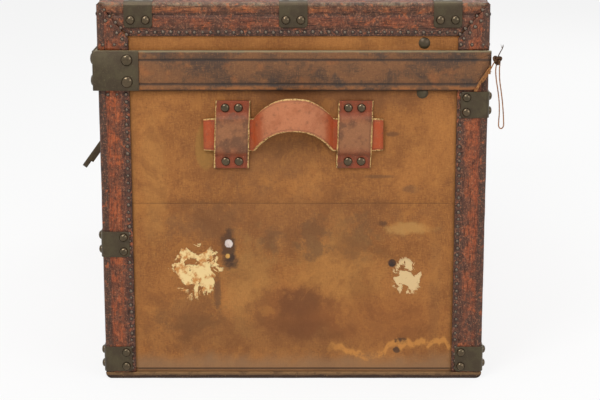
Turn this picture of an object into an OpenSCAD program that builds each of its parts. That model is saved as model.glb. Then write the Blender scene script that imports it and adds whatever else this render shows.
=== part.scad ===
// Steamer trunk: a wooden case under canvas, bound in leather, with metal clamps,
// a banded lid on rear hinges, folding stays, a lift-out tray and two end handles.
// The origin is the middle of the underside. X runs along the trunk, the front faces -Y.

/* [Trunk] */
// Length over the leather
trunk_l = 900; // [600:1:1200]
// Depth, front to rear, over the leather
trunk_w = 500; // [380:1:600]
// Height over the leather, lid shut
trunk_h = 500; // [400:1:620]
// Height of the lid
lid_h = 92; // [80:1:120]
// Thickness of the wooden boards
board_t = 10; // [6:0.5:12]
// Thickness of the canvas
canvas_t = 1.5; // [1:0.1:2.5]
// Thickness of the leather
leather_t = 3.5; // [2.5:0.1:4]
// Thickness of the lining
lining_t = 1; // [0.5:0.1:2]
// Gap between the lid and the body
part_gap = 0.6; // [0.4:0.1:2]

/* [Leather binding] */
// Width of the upright bindings and corner patches
binding_w = 40; // [30:1:50]
// Width of the bindings on the lid's edges
edge_w = 43; // [30:1:50]
// Radius of the bound edges
edge_r = 5; // [3:0.5:8]
// Width of the binding under the trunk
foot_w = 30; // [20:1:45]
// Height of the binding above the ground
foot_h = 8; // [6:0.5:12]
// Thickness of the binding that stands on the ground
foot_t = 2.5; // [2:0.1:4]
// Width of the open seams between leather pieces
seam = 0.3; // [0.2:0.05:0.6]

/* [Lid band] */
// Height of the band
band_h = 51; // [40:1:60]
// How far the band hangs over the body
skirt_h = 20; // [12:1:24]
// Thickness of the band's outer layer
band_t = 3.8; // [3:0.1:5]
// Running gap between the hanging band and the body
skirt_gap = 0.4; // [0.3:0.05:1]
// Worn-off rear corner of the band, along and up
band_cut = [16, 27];
// Reach of the metal corner caps along the band
cap_w = 59; // [45:1:80]

/* [Metal fittings] */
// Thickness of clamps and caps
clamp_t = 1.8; // [1.2:0.1:2.5]
// Width of the clamps
clamp_w = 36; // [26:1:42]
// Reach of the clamps from the edge
clamp_h = 34; // [26:1:42]
// Diameter of the small rivet heads
rivet_d = 11.5; // [8:0.5:12]
// Diameter of the large rivet heads
big_rivet_d = 15; // [12:0.5:16]
// Height of the rivet heads
rivet_h = 3.2; // [2:0.1:3.4]
// Height of the rivet heads on clamps and caps
clamp_rivet_h = 4.2; // [2:0.1:5]
// Distance between two rivets of a clamp
rivet_gap = 19; // [16:0.5:22]

/* [Handles] */
// Width of a leather loop
loop_w = 45; // [35:1:55]
// Height of a leather loop
loop_h = 88; // [76:1:100]
// Distance between the two loops' middles
loop_span = 158; // [140:1:180]
// Height of the handle strap
strap_h = 43; // [32:1:48]
// Thickness of the handle strap
strap_t = 5; // [3:0.1:6]
// Middle of the handle below the lid's joint
handle_drop = 78; // [66:1:120]
// How far the grip bows outwards
grip_bow = 28; // [22:1:40]
// How far the grip rises
grip_rise = 30; // [0:1:34]
// Clearance round the strap
strap_gap = 0.4; // [0.3:0.05:1]

/* [Hinges and stays] */
// Width of a hinge leaf
leaf_w = 44; // [36:1:60]
// Thickness of a hinge leaf
leaf_t = 2.5; // [1.5:0.1:3]
// Radius of the hinge knuckles
knuckle_r = 6.4; // [5:0.1:7]
// Radius of the hinge pins
hinge_pin_r = 3; // [2:0.1:3.5]
// Running clearance of the pins
pin_gap = 0.1; // [0.05:0.05:0.2]
// Distance between the hinges
hinge_span = 300; // [200:1:340]
// Length of a stay's lower link, pivot to pivot
lower_link = 98; // [94:0.5:100]
// Length of a stay's upper link, pivot to pivot
upper_link = 77.6; // [74:0.2:80]
// Thickness of the stay links
link_t = 2.2; // [1.5:0.1:2.4]
// Width of the stay links
link_w = 12; // [9:0.5:14]

/* [Tray] */
// Depth of the tray
tray_h = 98; // [60:1:120]
// Thickness of the tray's walls
tray_t = 8; // [5:0.5:10]
// Thickness of the tray's bottom
tray_floor = 4; // [3:0.5:6]
// Width and height of the ledges under the tray
ledge = 12; // [10:0.5:16]
// Gap between the tray and the walls
tray_gap = 3; // [2:0.5:5]
// Room for a folded stay beside the tray
stay_room = 8.5; // [8.2:0.1:12]

/* [Front locks] */
// Distance from the middle to a clasp
clasp_x = 220; // [150:1:260]
// Length of the clasp's tongue
tongue_l = 70; // [60:1:76]
// Width of the clasp's tongue
tongue_w = 16; // [12:0.5:22]
// Thickness of the tongue
tongue_t = 7; // [4:0.1:7]
// Angle at which an open tongue stands off
tongue_angle = 36; // [20:1:45]
// Width of the lock case
lock_w = 64; // [50:1:80]
// Height of the lock case
lock_h = 56; // [44:1:60]
// Angle at which the unlocked hasp stands off
hasp_angle = 8; // [6:1:15]

/* [Hidden] */

// Colours
wood = "#a98a5e";
canvas = "#a5733c";
leather = "#82402a";
worn_leather = "#b9774f";
metal = "#5c5442";
band_cloth = "#6e5238";
lining = "#cbbf9f";
cord_tan = "#9a7b55";

// Levels and faces, from the outside in
part_z = trunk_h - lid_h;
lid_z = part_z + part_gap;
face_x = trunk_l / 2;
face_y = trunk_w / 2;
skin = leather_t + canvas_t;
canvas_x = face_x - leather_t;
canvas_y = face_y - leather_t;
board_x = face_x - skin;
board_y = face_y - skin;
room_x = board_x - board_t;
room_y = board_y - board_t;
inner_x = room_x - lining_t;
inner_y = room_y - lining_t;
board_z = foot_t + canvas_t;
floor_z = board_z + board_t;
top_z = trunk_h - skin;

// Band
band_z = part_z - skirt_h;
band_top = band_z + band_h;
band_in = skirt_gap;
band_out = skirt_gap + band_t;

// Hinge axis
hinge_y = canvas_y + knuckle_r + 0.6;
hinge_z = part_z;
hinge_xs = [-hinge_span, 0, hinge_span];
knuckle_w = leaf_w / 3;
knuckle_gap = 0.5;

// Stays: pivots measured from the hinge axis, elbow from the two link lengths
stay_foot = [-88, -24];
stay_head = [-86.5, 40];
stay_line = stay_head - stay_foot;
stay_reach = norm(stay_line);
stay_lean = atan2(stay_line[1], stay_line[0]);
foot_angle = stay_lean + acos((lower_link^2 + stay_reach^2 - upper_link^2)
    / (2 * lower_link * stay_reach));
stay_elbow = stay_foot + lower_link * [cos(foot_angle), sin(foot_angle)];
head_angle = atan2(stay_head[1] - stay_elbow[1], stay_head[0] - stay_elbow[0]);
link_gap = 0.4;
lower_x = inner_x - 0.6 - link_t;
upper_x = lower_x - link_gap - link_t;
stud_r = 3;
head_pin_r = 2.2;
elbow_pin_r = 2.5;
slot_w = 11;
slot_l = 13.5;
stud_head_r = 5.5;
stud_head_t = 0.8;
hole_gap = 0.2;

// Tray
tray_x = inner_x - stay_room + 1;
tray_y = inner_y - tray_gap;
tray_top = part_z - 5;
tray_z = tray_top - tray_h;

// Handles
handle_z = part_z - handle_drop;
bend_y = (loop_span - loop_w) / 2 - 6;
stub_l = 14;
loop_room = strap_t + 2 * strap_gap;

// Clamps: heights of the body clamps' lower edges
bottom_clamp_z = foot_h + 2;
mid_clamp_z = part_z * 0.41;
rear_clamp_z = band_z - 2 - clamp_h;
lid_clamp_ys = [-197, 0, 196];
lid_clamp_xs = [-380, -127, 127, 380];
body_clamps_at = [
    [-1, mid_clamp_z], [-1, bottom_clamp_z], [1, rear_clamp_z], [1, bottom_clamp_z]
];

// Front locks
clasp_z = part_z - 111;
clasp_y = -(face_y + 10);
clasp_pin_r = 2;
ear_r = 4.5;
ear_t = 4;
lock_front = face_y + 6;
lock_z = band_z - 10 - lock_h;
hasp_z = band_top - 14;
hasp_l = 68;
hasp_w = 34;
hasp_r = 4;
hasp_t = 2;
hasp_pin_r = 1.8;
hasp_back_t = 1.6;
hasp_y = -(face_y + band_out + hasp_back_t + hasp_r + 0.4);

// The twine's route, by hand, from the band's rear end through the knot to its hanging loop
twine_d = 1.6;
twine_sides = 8;
twine_steps = 4;
knot_at = [461.5, 258.7, 428.5];
knot_r = 6.8;
twine_route = [
    [454.3, 240, 399], [457, 240.4, 399.4], [460, 243, 402.5], [461.4, 247, 410], [461.5, 250.8, 417.5],
    [461.5, 254.4, 424.6], [461.5, 258.2, 428.2], [461.5, 261.8, 425], [461.5, 261.6, 416.5],
    [461.5, 262.4, 402], [461.5, 264.6, 388], [461.5, 266.6, 374], [461.5, 268, 360],
    [461.5, 268.7, 350], [461.5, 268.8, 344.2], [461.5, 267.3, 340.9], [461.5, 264.6, 340.4],
    [461.5, 262.6, 343.4], [461.5, 262.5, 350], [461.5, 262.9, 361], [461.5, 262.3, 375],
    [461.5, 260.4, 389], [461.5, 258, 403], [461.5, 256.9, 414], [461.5, 257.4, 422]
];
// The route is drawn for a trunk of 900 x 500 mm parted at 408 mm, and moves with other sizes
twine_shift = [face_x - 450, face_y - 250, part_z - 408];

// ---------- Shared shapes ----------

module rivet(d, h = rivet_h) {
    r = d / 2;
    ball_r = (r * r + h * h) / (2 * h);
    intersection() {
        translate([0, 0, h - ball_r]) sphere(r = ball_r, $fn = 48);
        cylinder(r = r, h = h, $fn = 48);
    }
}

// A box given by its two corners
module span(a, b) {
    translate(a) cube(b - a);
}

// Lays a shape drawn in the Y-Z plane as a plate of thickness t whose inner face is at x
module plate_x(x, t) {
    translate([x, 0, 0]) rotate([90, 0, 90]) linear_extrude(height = t) children();
}

// Lays a shape drawn in the X-Z plane as a plate of thickness t whose front face is at y
module plate_y(y, t) {
    translate([0, y + t, 0]) rotate([90, 0, 0]) linear_extrude(height = t) children();
}

// Copies a shape to the far end, to the rear, or to all four corners
module both_ends() {
    children();
    mirror([1, 0, 0]) children();
}

module front_and_rear() {
    children();
    mirror([0, 1, 0]) children();
}

// A wall's panel with the two stay holes on an end
module stay_holes(x0, x1, at, r) {
    translate([x0 - 1, hinge_y + at[0], hinge_z + at[1]]) rotate([0, 90, 0])
        cylinder(r = r, h = x1 - x0 + 2, $fn = 32);
}

// ---------- Body ----------

module base_board() {
    color(wood) span([-room_x, -room_y, board_z], [room_x, room_y, floor_z]);
}

module side_board(z0, z1) {
    span([-board_x, -board_y, z0], [board_x, -room_y, z1]);
}

module front_board() { color(wood) side_board(board_z, part_z); }

module rear_board() { color(wood) mirror([0, 1, 0]) side_board(board_z, part_z); }

module end_board(z0, z1, hole) {
    difference() {
        span([room_x, -room_y, z0], [board_x, room_y, z1]);
        stay_holes(room_x, board_x, hole, stud_r + hole_gap);
    }
}

module right_end_board() { color(wood) end_board(board_z, part_z, stay_foot); }

module left_end_board() { color(wood) mirror([1, 0, 0]) end_board(board_z, part_z, stay_foot); }

module side_canvas(z0, z1) {
    span([-canvas_x, -canvas_y, z0], [canvas_x, -board_y, z1]);
}

module front_canvas() { color(canvas) side_canvas(board_z, part_z); }

module rear_canvas() { color(canvas) mirror([0, 1, 0]) side_canvas(board_z, part_z); }

module end_canvas(z0, z1, hole) {
    difference() {
        span([board_x, -board_y, z0], [canvas_x, board_y, z1]);
        stay_holes(board_x, canvas_x, hole, stud_r + hole_gap);
    }
}

module right_end_canvas() { color(canvas) end_canvas(board_z, part_z, stay_foot); }

module left_end_canvas() { color(canvas) mirror([1, 0, 0]) end_canvas(board_z, part_z, stay_foot); }

// The canvas underneath is doubled inside the leather, and lies flush with it
module bottom_canvas() {
    in_x = face_x - foot_w - seam;
    in_y = face_y - foot_w - seam;
    color(canvas) union() {
        span([-canvas_x, -canvas_y, foot_t], [canvas_x, canvas_y, board_z]);
        span([-in_x, -in_y, 0], [in_x, in_y, board_z]);
    }
}

// An upright leather angle at the front right corner, with a rounded edge
module corner_angle(z0, z1, wx, wy) {
    translate([0, 0, z0]) linear_extrude(height = z1 - z0) intersection() {
        difference() {
            translate([face_x - wx, -face_y]) square([wx, wy]);
            translate([face_x - wx - 1, -canvas_y]) square([wx + 1 - leather_t, wy]);
        }
        union() {
            translate([face_x - wx, -face_y]) square([wx - edge_r, wy]);
            translate([face_x - wx, edge_r - face_y]) square([wx, wy]);
            translate([face_x - edge_r, edge_r - face_y]) circle(r = edge_r, $fn = 48);
        }
    }
}

module corner_bindings() {
    color(leather) both_ends() front_and_rear()
        corner_angle(foot_h + seam, part_z - part_gap, binding_w, binding_w);
}

// The case seen from the end, near the ground: the front and rear lower edges are rounded
module foot_outline() {
    hull() {
        for (s = [-1, 1]) translate([s * (face_y - foot_h), foot_h]) circle(r = foot_h, $fn = 64);
        translate([-face_y, foot_h]) square([2 * face_y, 1]);
    }
}

module bottom_binding() {
    color(leather) intersection() {
        union() {
            front_and_rear() union() {
                span([-face_x, -face_y, 0], [face_x, foot_w - face_y, foot_t]);
                span([-face_x, -face_y, 0], [face_x, -canvas_y, foot_h]);
            }
            both_ends() union() {
                span([face_x - foot_w, foot_w - face_y, 0], [face_x, face_y - foot_w, foot_t]);
                span([canvas_x, -canvas_y, foot_t], [face_x, canvas_y, foot_h]);
            }
        }
        translate([-face_x, 0, 0]) rotate([90, 0, 90]) linear_extrude(height = 2 * face_x)
            foot_outline();
    }
}

// A thin open box of lining, with its closed side at z0
module lining_shell(z0, z1, wall_low, wall_high) {
    difference() {
        span([-room_x, -room_y, z0], [room_x, room_y, z1]);
        span([-inner_x, -inner_y, wall_low], [inner_x, inner_y, wall_high]);
        children();
    }
}

module body_lining() {
    color(lining) lining_shell(floor_z, part_z, floor_z + lining_t, part_z + 1) {
        both_ends() stay_holes(inner_x, room_x, stay_foot, stud_r + hole_gap);
    }
}

// A metal angle round the front right corner, clamp_h high
module corner_clamp(z0) {
    out_x = face_x + clamp_t;
    out_y = face_y + clamp_t;
    reach = clamp_w + clamp_t;
    r = edge_r + clamp_t;
    translate([0, 0, z0]) linear_extrude(height = clamp_h) difference() {
        union() {
            translate([out_x - reach, -out_y]) square([reach - r, clamp_t]);
            translate([face_x, r - out_y]) square([clamp_t, reach - r]);
            translate([out_x - r, r - out_y]) circle(r = r, $fn = 48);
        }
        translate([out_x - r - 1, r - out_y]) square([1 + edge_r, reach]);
        translate([out_x - reach - 1, -face_y]) square([reach + 1 - r, reach]);
        translate([face_x - edge_r, edge_r - face_y]) circle(r = edge_r, $fn = 48);
    }
}

module body_clamps() {
    color(metal) both_ends() for (c = body_clamps_at)
        mirror([0, c[0] > 0 ? 1 : 0, 0]) corner_clamp(c[1]);
}

// Two rivets on each leg of a corner clamp
module corner_clamp_rivets(z0) {
    inset = clamp_w - 8;
    side_inset = 14;
    for (dz = [-1, 1]) translate([0, 0, z0 + clamp_h / 2 + dz * rivet_gap / 2]) {
        translate([face_x + clamp_t, inset - face_y, 0]) rotate([0, 90, 0]) rivet(rivet_d, clamp_rivet_h);
        translate([face_x - side_inset, -face_y - clamp_t, 0]) rotate([90, 0, 0])
            rivet(rivet_d, clamp_rivet_h);
    }
}

module body_rivets() {
    color(metal) both_ends() for (c = body_clamps_at)
        mirror([0, c[0] > 0 ? 1 : 0, 0]) corner_clamp_rivets(c[1]);
}

// ---------- Tray ----------

module tray_ledges() {
    color(wood) front_and_rear()
        span([-inner_x, -inner_y, tray_z - ledge], [inner_x, ledge - inner_y, tray_z]);
}

module tray_bottom() {
    color(wood) span([tray_t - tray_x, tray_t - tray_y, tray_z],
        [tray_x - tray_t, tray_y - tray_t, tray_z + tray_floor]);
}

module tray_side_walls() {
    color(wood) front_and_rear()
        span([-tray_x, -tray_y, tray_z], [tray_x, tray_t - tray_y, tray_top]);
}

module tray_end_walls() {
    color(wood) both_ends()
        span([tray_x - tray_t, tray_t - tray_y, tray_z], [tray_x, tray_y - tray_t, tray_top]);
}

// Cloth tapes nailed inside the tray's ends
module tray_pulls() {
    pull_w = 60;
    tape_t = 1.5;
    tape_h = 30;
    x = tray_x - tray_t - tape_t;
    color(canvas) both_ends() plate_x(x, tape_t) difference() {
        translate([-pull_w / 2, tray_top - 60]) square([pull_w, 60]);
        translate([-pull_w / 2 + 14, tray_top - 60 - 1]) square([pull_w - 28, 61 - tape_h / 2]);
    }
}

// ---------- Lid ----------

module lid_top_board() {
    color(wood) span([-board_x, -board_y, top_z - board_t], [board_x, board_y, top_z]);
}

module lid_front_board() { color(wood) side_board(lid_z, top_z - board_t); }

module lid_rear_board() { color(wood) mirror([0, 1, 0]) side_board(lid_z, top_z - board_t); }

module lid_end_boards() { color(wood) both_ends() end_board(lid_z, top_z - board_t, stay_head); }

module lid_top_canvas() {
    color(canvas) span([-canvas_x, -canvas_y, top_z], [canvas_x, canvas_y, top_z + canvas_t]);
}

module lid_front_canvas() { color(canvas) side_canvas(lid_z, top_z); }

module lid_rear_canvas() { color(canvas) mirror([0, 1, 0]) side_canvas(lid_z, top_z); }

module lid_end_canvases() { color(canvas) both_ends() end_canvas(lid_z, top_z, stay_head); }

// The leather on one long edge: half_l long, out to face, mitred at both ends
module edge_binding(half_l, face) {
    wall = face - leather_t;
    mitre = edge_w - leather_t;
    intersection() {
        union() {
            plate_y(-face, leather_t) polygon([
                [-half_l + leather_t + seam, trunk_h], [half_l - leather_t - seam, trunk_h],
                [half_l - binding_w - seam, trunk_h - edge_w],
                [-half_l + binding_w + seam, trunk_h - edge_w]
            ]);
            translate([0, 0, trunk_h - leather_t]) linear_extrude(height = leather_t) polygon([
                [-half_l + leather_t + seam, -wall], [-half_l + leather_t + seam, -face],
                [half_l - leather_t - seam, -face], [half_l - leather_t - seam, -wall],
                [half_l - edge_w - seam, mitre - wall], [-half_l + edge_w + seam, mitre - wall]
            ]);
        }
        translate([-half_l, 0, 0]) rotate([90, 0, 90]) linear_extrude(height = 2 * half_l) union() {
            translate([edge_r - face, 0]) square([face, trunk_h]);
            translate([-face, 0]) square([face, trunk_h - edge_r]);
            translate([edge_r - face, trunk_h - edge_r]) circle(r = edge_r, $fn = 48);
        }
    }
}

module lid_edge_bindings() {
    color(leather) {
        front_and_rear() edge_binding(face_x, face_y);
        both_ends() rotate([0, 0, 90]) edge_binding(face_y, face_x);
    }
}

// The wedge of wall that an edge binding covers, with its seam
module mitre_cut(half_l, face) {
    plate_y(-face - 1, leather_t + 2) polygon([
        [0, trunk_h + 1], [half_l - leather_t + 0.1, trunk_h + 1], [half_l - leather_t + 0.1, trunk_h],
        [half_l - binding_w, trunk_h - edge_w], [0, trunk_h - edge_w]
    ]);
}

module corner_patch(low) {
    difference() {
        corner_angle(low, trunk_h - leather_t, binding_w, binding_w);
        mitre_cut(face_x, face_y);
        rotate([0, 0, 90]) mirror([1, 0, 0]) mitre_cut(face_y, face_x);
    }
}

module lid_corner_patches() {
    color(leather) both_ends() {
        corner_patch(band_top + seam);
        mirror([0, 1, 0]) union() {
            corner_patch(band_top + seam);
            span([face_x - binding_w, -face_y, lid_z], [canvas_x, -canvas_y, band_top + 1]);
        }
    }
}

// The band's outer layer hangs over the body, and its packing fills out the lid
module lid_front_band() {
    color(band_cloth) union() {
        span([-face_x - band_in, -face_y - band_out, band_z],
            [face_x + band_in, -face_y - band_in, band_top]);
        span([-canvas_x, -face_y - band_in, lid_z], [canvas_x, -canvas_y, band_top]);
    }
}

module end_band() {
    rear = face_y + 2;
    front = -face_y - band_out;
    union() {
        plate_x(face_x + band_in, band_t) polygon([
            [front, band_z], [rear - band_cut[0], band_z], [rear, band_z + band_cut[1]],
            [rear, band_top], [front, band_top]
        ]);
        span([canvas_x, -face_y - band_in, lid_z], [face_x + band_in, canvas_y, band_top]);
    }
}

module lid_end_bands() { color(band_cloth) both_ends() end_band(); }

// Metal corner on the band's front corners
module band_cap() {
    wall = band_out + clamp_t;
    out_x = face_x + wall;
    out_y = face_y + wall;
    translate([0, 0, band_z]) linear_extrude(height = band_h) intersection() {
        difference() {
            translate([out_x - cap_w, -out_y]) square([cap_w, cap_w]);
            translate([out_x - cap_w - 1, clamp_t - out_y]) square([cap_w + 1 - clamp_t, cap_w]);
        }
        union() {
            translate([out_x - cap_w, -out_y]) square([cap_w - clamp_t, cap_w]);
            translate([out_x - cap_w, clamp_t - out_y]) square([cap_w, cap_w]);
            translate([out_x - clamp_t, clamp_t - out_y]) circle(r = clamp_t, $fn = 32);
        }
    }
}

module band_caps() { color(metal) both_ends() band_cap(); }

// A metal angle over the lid's top edge on a +X end, at y
module edge_clamp(y) {
    out = face_x + clamp_t;
    high = trunk_h + clamp_t;
    r = edge_r + clamp_t;
    translate([0, y + clamp_w / 2, 0]) rotate([90, 0, 0]) linear_extrude(height = clamp_w) difference() {
        union() {
            translate([out - clamp_h, trunk_h]) square([clamp_h - r, clamp_t]);
            translate([face_x, high - clamp_h]) square([clamp_t, clamp_h - r]);
            translate([out - r, high - r]) circle(r = r, $fn = 48);
        }
        translate([out - clamp_h - 1, high - clamp_h - 1]) square([clamp_h + 1 - r, clamp_h + 1 - clamp_t]);
        translate([out - clamp_h - 1, high - clamp_h - 1]) square([clamp_h + 1 - clamp_t, clamp_h + 1 - r]);
        translate([face_x - edge_r, trunk_h - edge_r]) circle(r = edge_r, $fn = 48);
    }
}

module edge_clamp_rivets(y) {
    inset = 22;
    for (dy = [-1, 1]) translate([0, y + dy * rivet_gap / 2, 0]) {
        translate([face_x + clamp_t, 0, trunk_h - inset]) rotate([0, 90, 0]) rivet(rivet_d, clamp_rivet_h);
        translate([face_x - inset, 0, trunk_h + clamp_t]) rivet(rivet_d, clamp_rivet_h);
    }
}

// Turns a shape made for the +X end to the front, for the clamps along the long edges
module to_front() {
    rotate([0, 0, -90]) translate([face_y - face_x, 0, 0]) children();
}

module lid_clamps() {
    color(metal) {
        both_ends() for (y = lid_clamp_ys) edge_clamp(y);
        front_and_rear() to_front() for (x = lid_clamp_xs) edge_clamp(x);
    }
}

module lid_rivets() {
    cap_face = band_out + clamp_t;
    color(metal) {
        both_ends() {
            for (y = lid_clamp_ys) edge_clamp_rivets(y);
            for (dz = [-14, 14]) translate([0, 0, band_z + band_h / 2 + dz]) {
                translate([face_x + cap_face, cap_w - 15 - face_y - cap_face, 0])
                    rotate([0, 90, 0]) rivet(big_rivet_d, clamp_rivet_h);
                translate([face_x + cap_face - 16, -face_y - cap_face, 0])
                    rotate([90, 0, 0]) rivet(big_rivet_d, clamp_rivet_h);
            }
        }
        front_and_rear() to_front() for (x = lid_clamp_xs) edge_clamp_rivets(x);
    }
}

module lid_lining() {
    color(lining) lining_shell(lid_z, top_z - board_t, lid_z - 1, top_z - board_t - lining_t) {
        both_ends() stay_holes(inner_x, room_x, stay_head, stud_r + hole_gap);
    }
}

// ---------- Hinges ----------

// One leaf, drawn below the axis; the lid's leaf is its mirror image with the other knuckles
module hinge_leaf(x, reach, knuckles) {
    start = knuckle_r + 0.8;
    back = canvas_y - hinge_y;
    translate([x, hinge_y, hinge_z]) difference() {
        union() {
            span([-leaf_w / 2, back, -reach], [leaf_w / 2, back + leaf_t, -start]);
            for (k = knuckles) {
                span([k[0], back, -start - 0.5], [k[1], back + leaf_t, 0]);
                translate([k[0], 0, 0]) rotate([0, 90, 0])
                    cylinder(r = knuckle_r, h = k[1] - k[0], $fn = 48);
            }
        }
        translate([-leaf_w, 0, 0]) rotate([0, 90, 0])
            cylinder(r = hinge_pin_r + pin_gap, h = 2 * leaf_w, $fn = 48);
    }
}

module hinge_body_leaves() {
    half = leaf_w / 2;
    mid = knuckle_w / 2 + knuckle_gap;
    color(metal) for (x = hinge_xs) hinge_leaf(x, 68, [[-half, -mid], [mid, half]]);
}

module hinge_lid_leaves() {
    mid = knuckle_w / 2;
    color(metal) translate([0, 0, 2 * hinge_z]) mirror([0, 0, 1])
        for (x = hinge_xs) hinge_leaf(x, lid_h - edge_w - 1, [[-mid, mid]]);
}

module hinge_pins() {
    head = 1.5;
    color(metal) for (x = hinge_xs) translate([x, hinge_y, hinge_z]) rotate([0, 90, 0]) union() {
        translate([0, 0, -leaf_w / 2 - head]) cylinder(r = hinge_pin_r, h = leaf_w + 2 * head, $fn = 48);
        for (side = [-1, 1]) translate([0, 0, side * (leaf_w / 2 + head / 2 + 0.1) - head / 2])
            cylinder(r = hinge_pin_r + 1.5, h = head, $fn = 48);
    }
}

// ---------- Stays ----------

// A stud through an end wall: dome outside, shank, and a flat head inside at x_in
module stay_stud(at, x_in, r) {
    translate([0, hinge_y + at[0], hinge_z + at[1]]) union() {
        translate([canvas_x, 0, 0]) rotate([0, 90, 0]) rivet(big_rivet_d);
        translate([x_in, 0, 0]) rotate([0, 90, 0]) cylinder(r = r, h = canvas_x - x_in + 0.5, $fn = 32);
        translate([x_in - stud_head_t, 0, 0]) rotate([0, 90, 0])
            cylinder(r = stud_head_r, h = stud_head_t, $fn = 32);
    }
}

module stay_body_studs() {
    color(metal) both_ends() stay_stud(stay_foot, lower_x - 0.4, stud_r);
}

module stay_lid_studs() {
    color(metal) both_ends() stay_stud(stay_head, upper_x - 0.4, head_pin_r);
}

// A flat bar with round ends, from the local origin along +Y
module link_outline(l, r0, r1) {
    union() {
        circle(r = r0, $fn = 48);
        translate([0, -link_w / 2]) square([l, link_w]);
        translate([l, 0]) circle(r = r1, $fn = 48);
    }
}

module right_lower() {
    elbow_head = 0.8;
    translate([lower_x, hinge_y + stay_foot[0], hinge_z + stay_foot[1]]) rotate([foot_angle, 0, 0]) union() {
        rotate([90, 0, 90]) linear_extrude(height = link_t) difference() {
            link_outline(lower_link, link_w / 2 + 1, link_w / 2);
            circle(r = stud_r + pin_gap, $fn = 48);
        }
        translate([-link_gap - link_t - 0.3, lower_link, 0]) rotate([0, 90, 0])
            cylinder(r = elbow_pin_r, h = link_gap + link_t + 0.8, $fn = 48);
        translate([-link_gap - link_t - 0.3 - elbow_head, lower_link, 0]) rotate([0, 90, 0])
            cylinder(r = stud_head_r, h = elbow_head, $fn = 48);
    }
}

// The upper link's far end has a long eye, so it also slides a little on the lid's stud
module right_upper() {
    eye_r = slot_w / 2 + 3;
    translate([upper_x, hinge_y + stay_elbow[0], hinge_z + stay_elbow[1]]) rotate([head_angle, 0, 0])
        rotate([90, 0, 90]) linear_extrude(height = link_t) difference() {
            union() {
                link_outline(upper_link, link_w / 2, eye_r);
                translate([upper_link - slot_l, 0]) circle(r = eye_r, $fn = 48);
                translate([upper_link - slot_l, -eye_r]) square([slot_l, 2 * eye_r]);
            }
            circle(r = elbow_pin_r + pin_gap, $fn = 48);
            translate([upper_link - slot_l, 0]) circle(r = slot_w / 2, $fn = 48);
            translate([upper_link, 0]) circle(r = slot_w / 2, $fn = 48);
            translate([upper_link - slot_l, -slot_w / 2]) square([slot_l, slot_w]);
        }
}

module right_stay_lower() { color(metal) right_lower(); }

module right_stay_upper() { color(metal) right_upper(); }

module left_stay_lower() { color(metal) mirror([1, 0, 0]) right_lower(); }

module left_stay_upper() { color(metal) mirror([1, 0, 0]) right_upper(); }

// ---------- Handles ----------

// A leather keeper over the strap, flat on the canvas above and below it
module handle_loop(y) {
    tab = (loop_h - strap_h) / 2 - strap_gap - 4;
    slope = 4;
    low = handle_z - loop_h / 2;
    high = handle_z + loop_h / 2;
    wall = canvas_x;
    out = wall + loop_room + leather_t;
    translate([0, y + loop_w / 2, 0]) rotate([90, 0, 0]) linear_extrude(height = loop_w) polygon([
        [wall, low], [wall + leather_t, low], [wall + leather_t, low + tab],
        [out, low + tab + slope], [out, high - tab - slope],
        [wall + leather_t, high - tab], [wall + leather_t, high], [wall, high],
        [wall, high - tab - slope], [wall + loop_room, high - tab - slope],
        [wall + loop_room, low + tab + slope], [wall, low + tab + slope]
    ]);
}

module handle_loops() {
    color(worn_leather) both_ends() for (s = [-1, 1]) handle_loop(s * loop_span / 2);
}

module handle_rivets() {
    low = handle_z - loop_h / 2 + 9;
    high = handle_z + loop_h / 2 - 9;
    color(metal) both_ends() for (s = [-1, 1], dy = [-1, 1], z = [low, high])
        translate([canvas_x + leather_t, s * loop_span / 2 + dy * 8.5, z]) rotate([0, 90, 0]) rivet(rivet_d);
}

// How far along its bow the grip is at y, from 0 in the loops to 1 in the middle
function bow(y) = let (u = min(1, abs(y) / bend_y)) 1 - pow(u, 2.4);
function strap_point(y) = [
    canvas_x + strap_gap + strap_t / 2 + grip_bow * bow(y), y, handle_z + grip_rise * bow(y)
];

module strap_slab(y) {
    ahead = strap_point(y + 0.5);
    behind = strap_point(y - 0.5);
    turn = atan2(behind[0] - ahead[0], ahead[1] - behind[1]);
    translate(strap_point(y)) rotate([0, 0, turn]) translate([-strap_t / 2, -0.2, -strap_h / 2])
        cube([strap_t, 0.4, strap_h]);
}

module end_strap() {
    steps = 9;
    end = loop_span / 2 + loop_w / 2 + stub_l;
    half = [for (i = [0 : steps]) bend_y * i / steps];
    stations = concat([-end], [for (i = [steps : -1 : 1]) -half[i]], half, [end]);
    for (i = [0 : len(stations) - 2]) hull() {
        strap_slab(stations[i]);
        strap_slab(stations[i + 1]);
    }
}

module right_handle_strap() { color(worn_leather) end_strap(); }

module left_handle_strap() { color(worn_leather) mirror([1, 0, 0]) end_strap(); }

// ---------- Lock and clasps ----------

module lock_case() {
    hole_r = 5;
    color(metal) difference() {
        union() {
            span([-lock_w / 2, -lock_front, lock_z], [lock_w / 2, -canvas_y, lock_z + lock_h]);
            span([-lock_w / 2 - 9, -canvas_y - 2, lock_z + 8],
                [lock_w / 2 + 9, -canvas_y, lock_z + lock_h - 8]);
        }
        translate([-6, -lock_front - 1, lock_z + lock_h - 24]) cube([12, 6, 12]);
        translate([0, -lock_front + 4, lock_z + 17]) rotate([90, 0, 0]) cylinder(r = hole_r, h = 10, $fn = 32);
    }
}

module lock_escutcheon() {
    color("#8a7438") translate([0, -lock_front, lock_z + 17]) rotate([90, 0, 0]) difference() {
        cylinder(r = 9, h = 1.2, $fn = 48);
        translate([0, 0, -1]) cylinder(r = 2.4, h = 4, $fn = 32);
        translate([-1, -7, -1]) cube([2, 7, 4]);
    }
}

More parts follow.
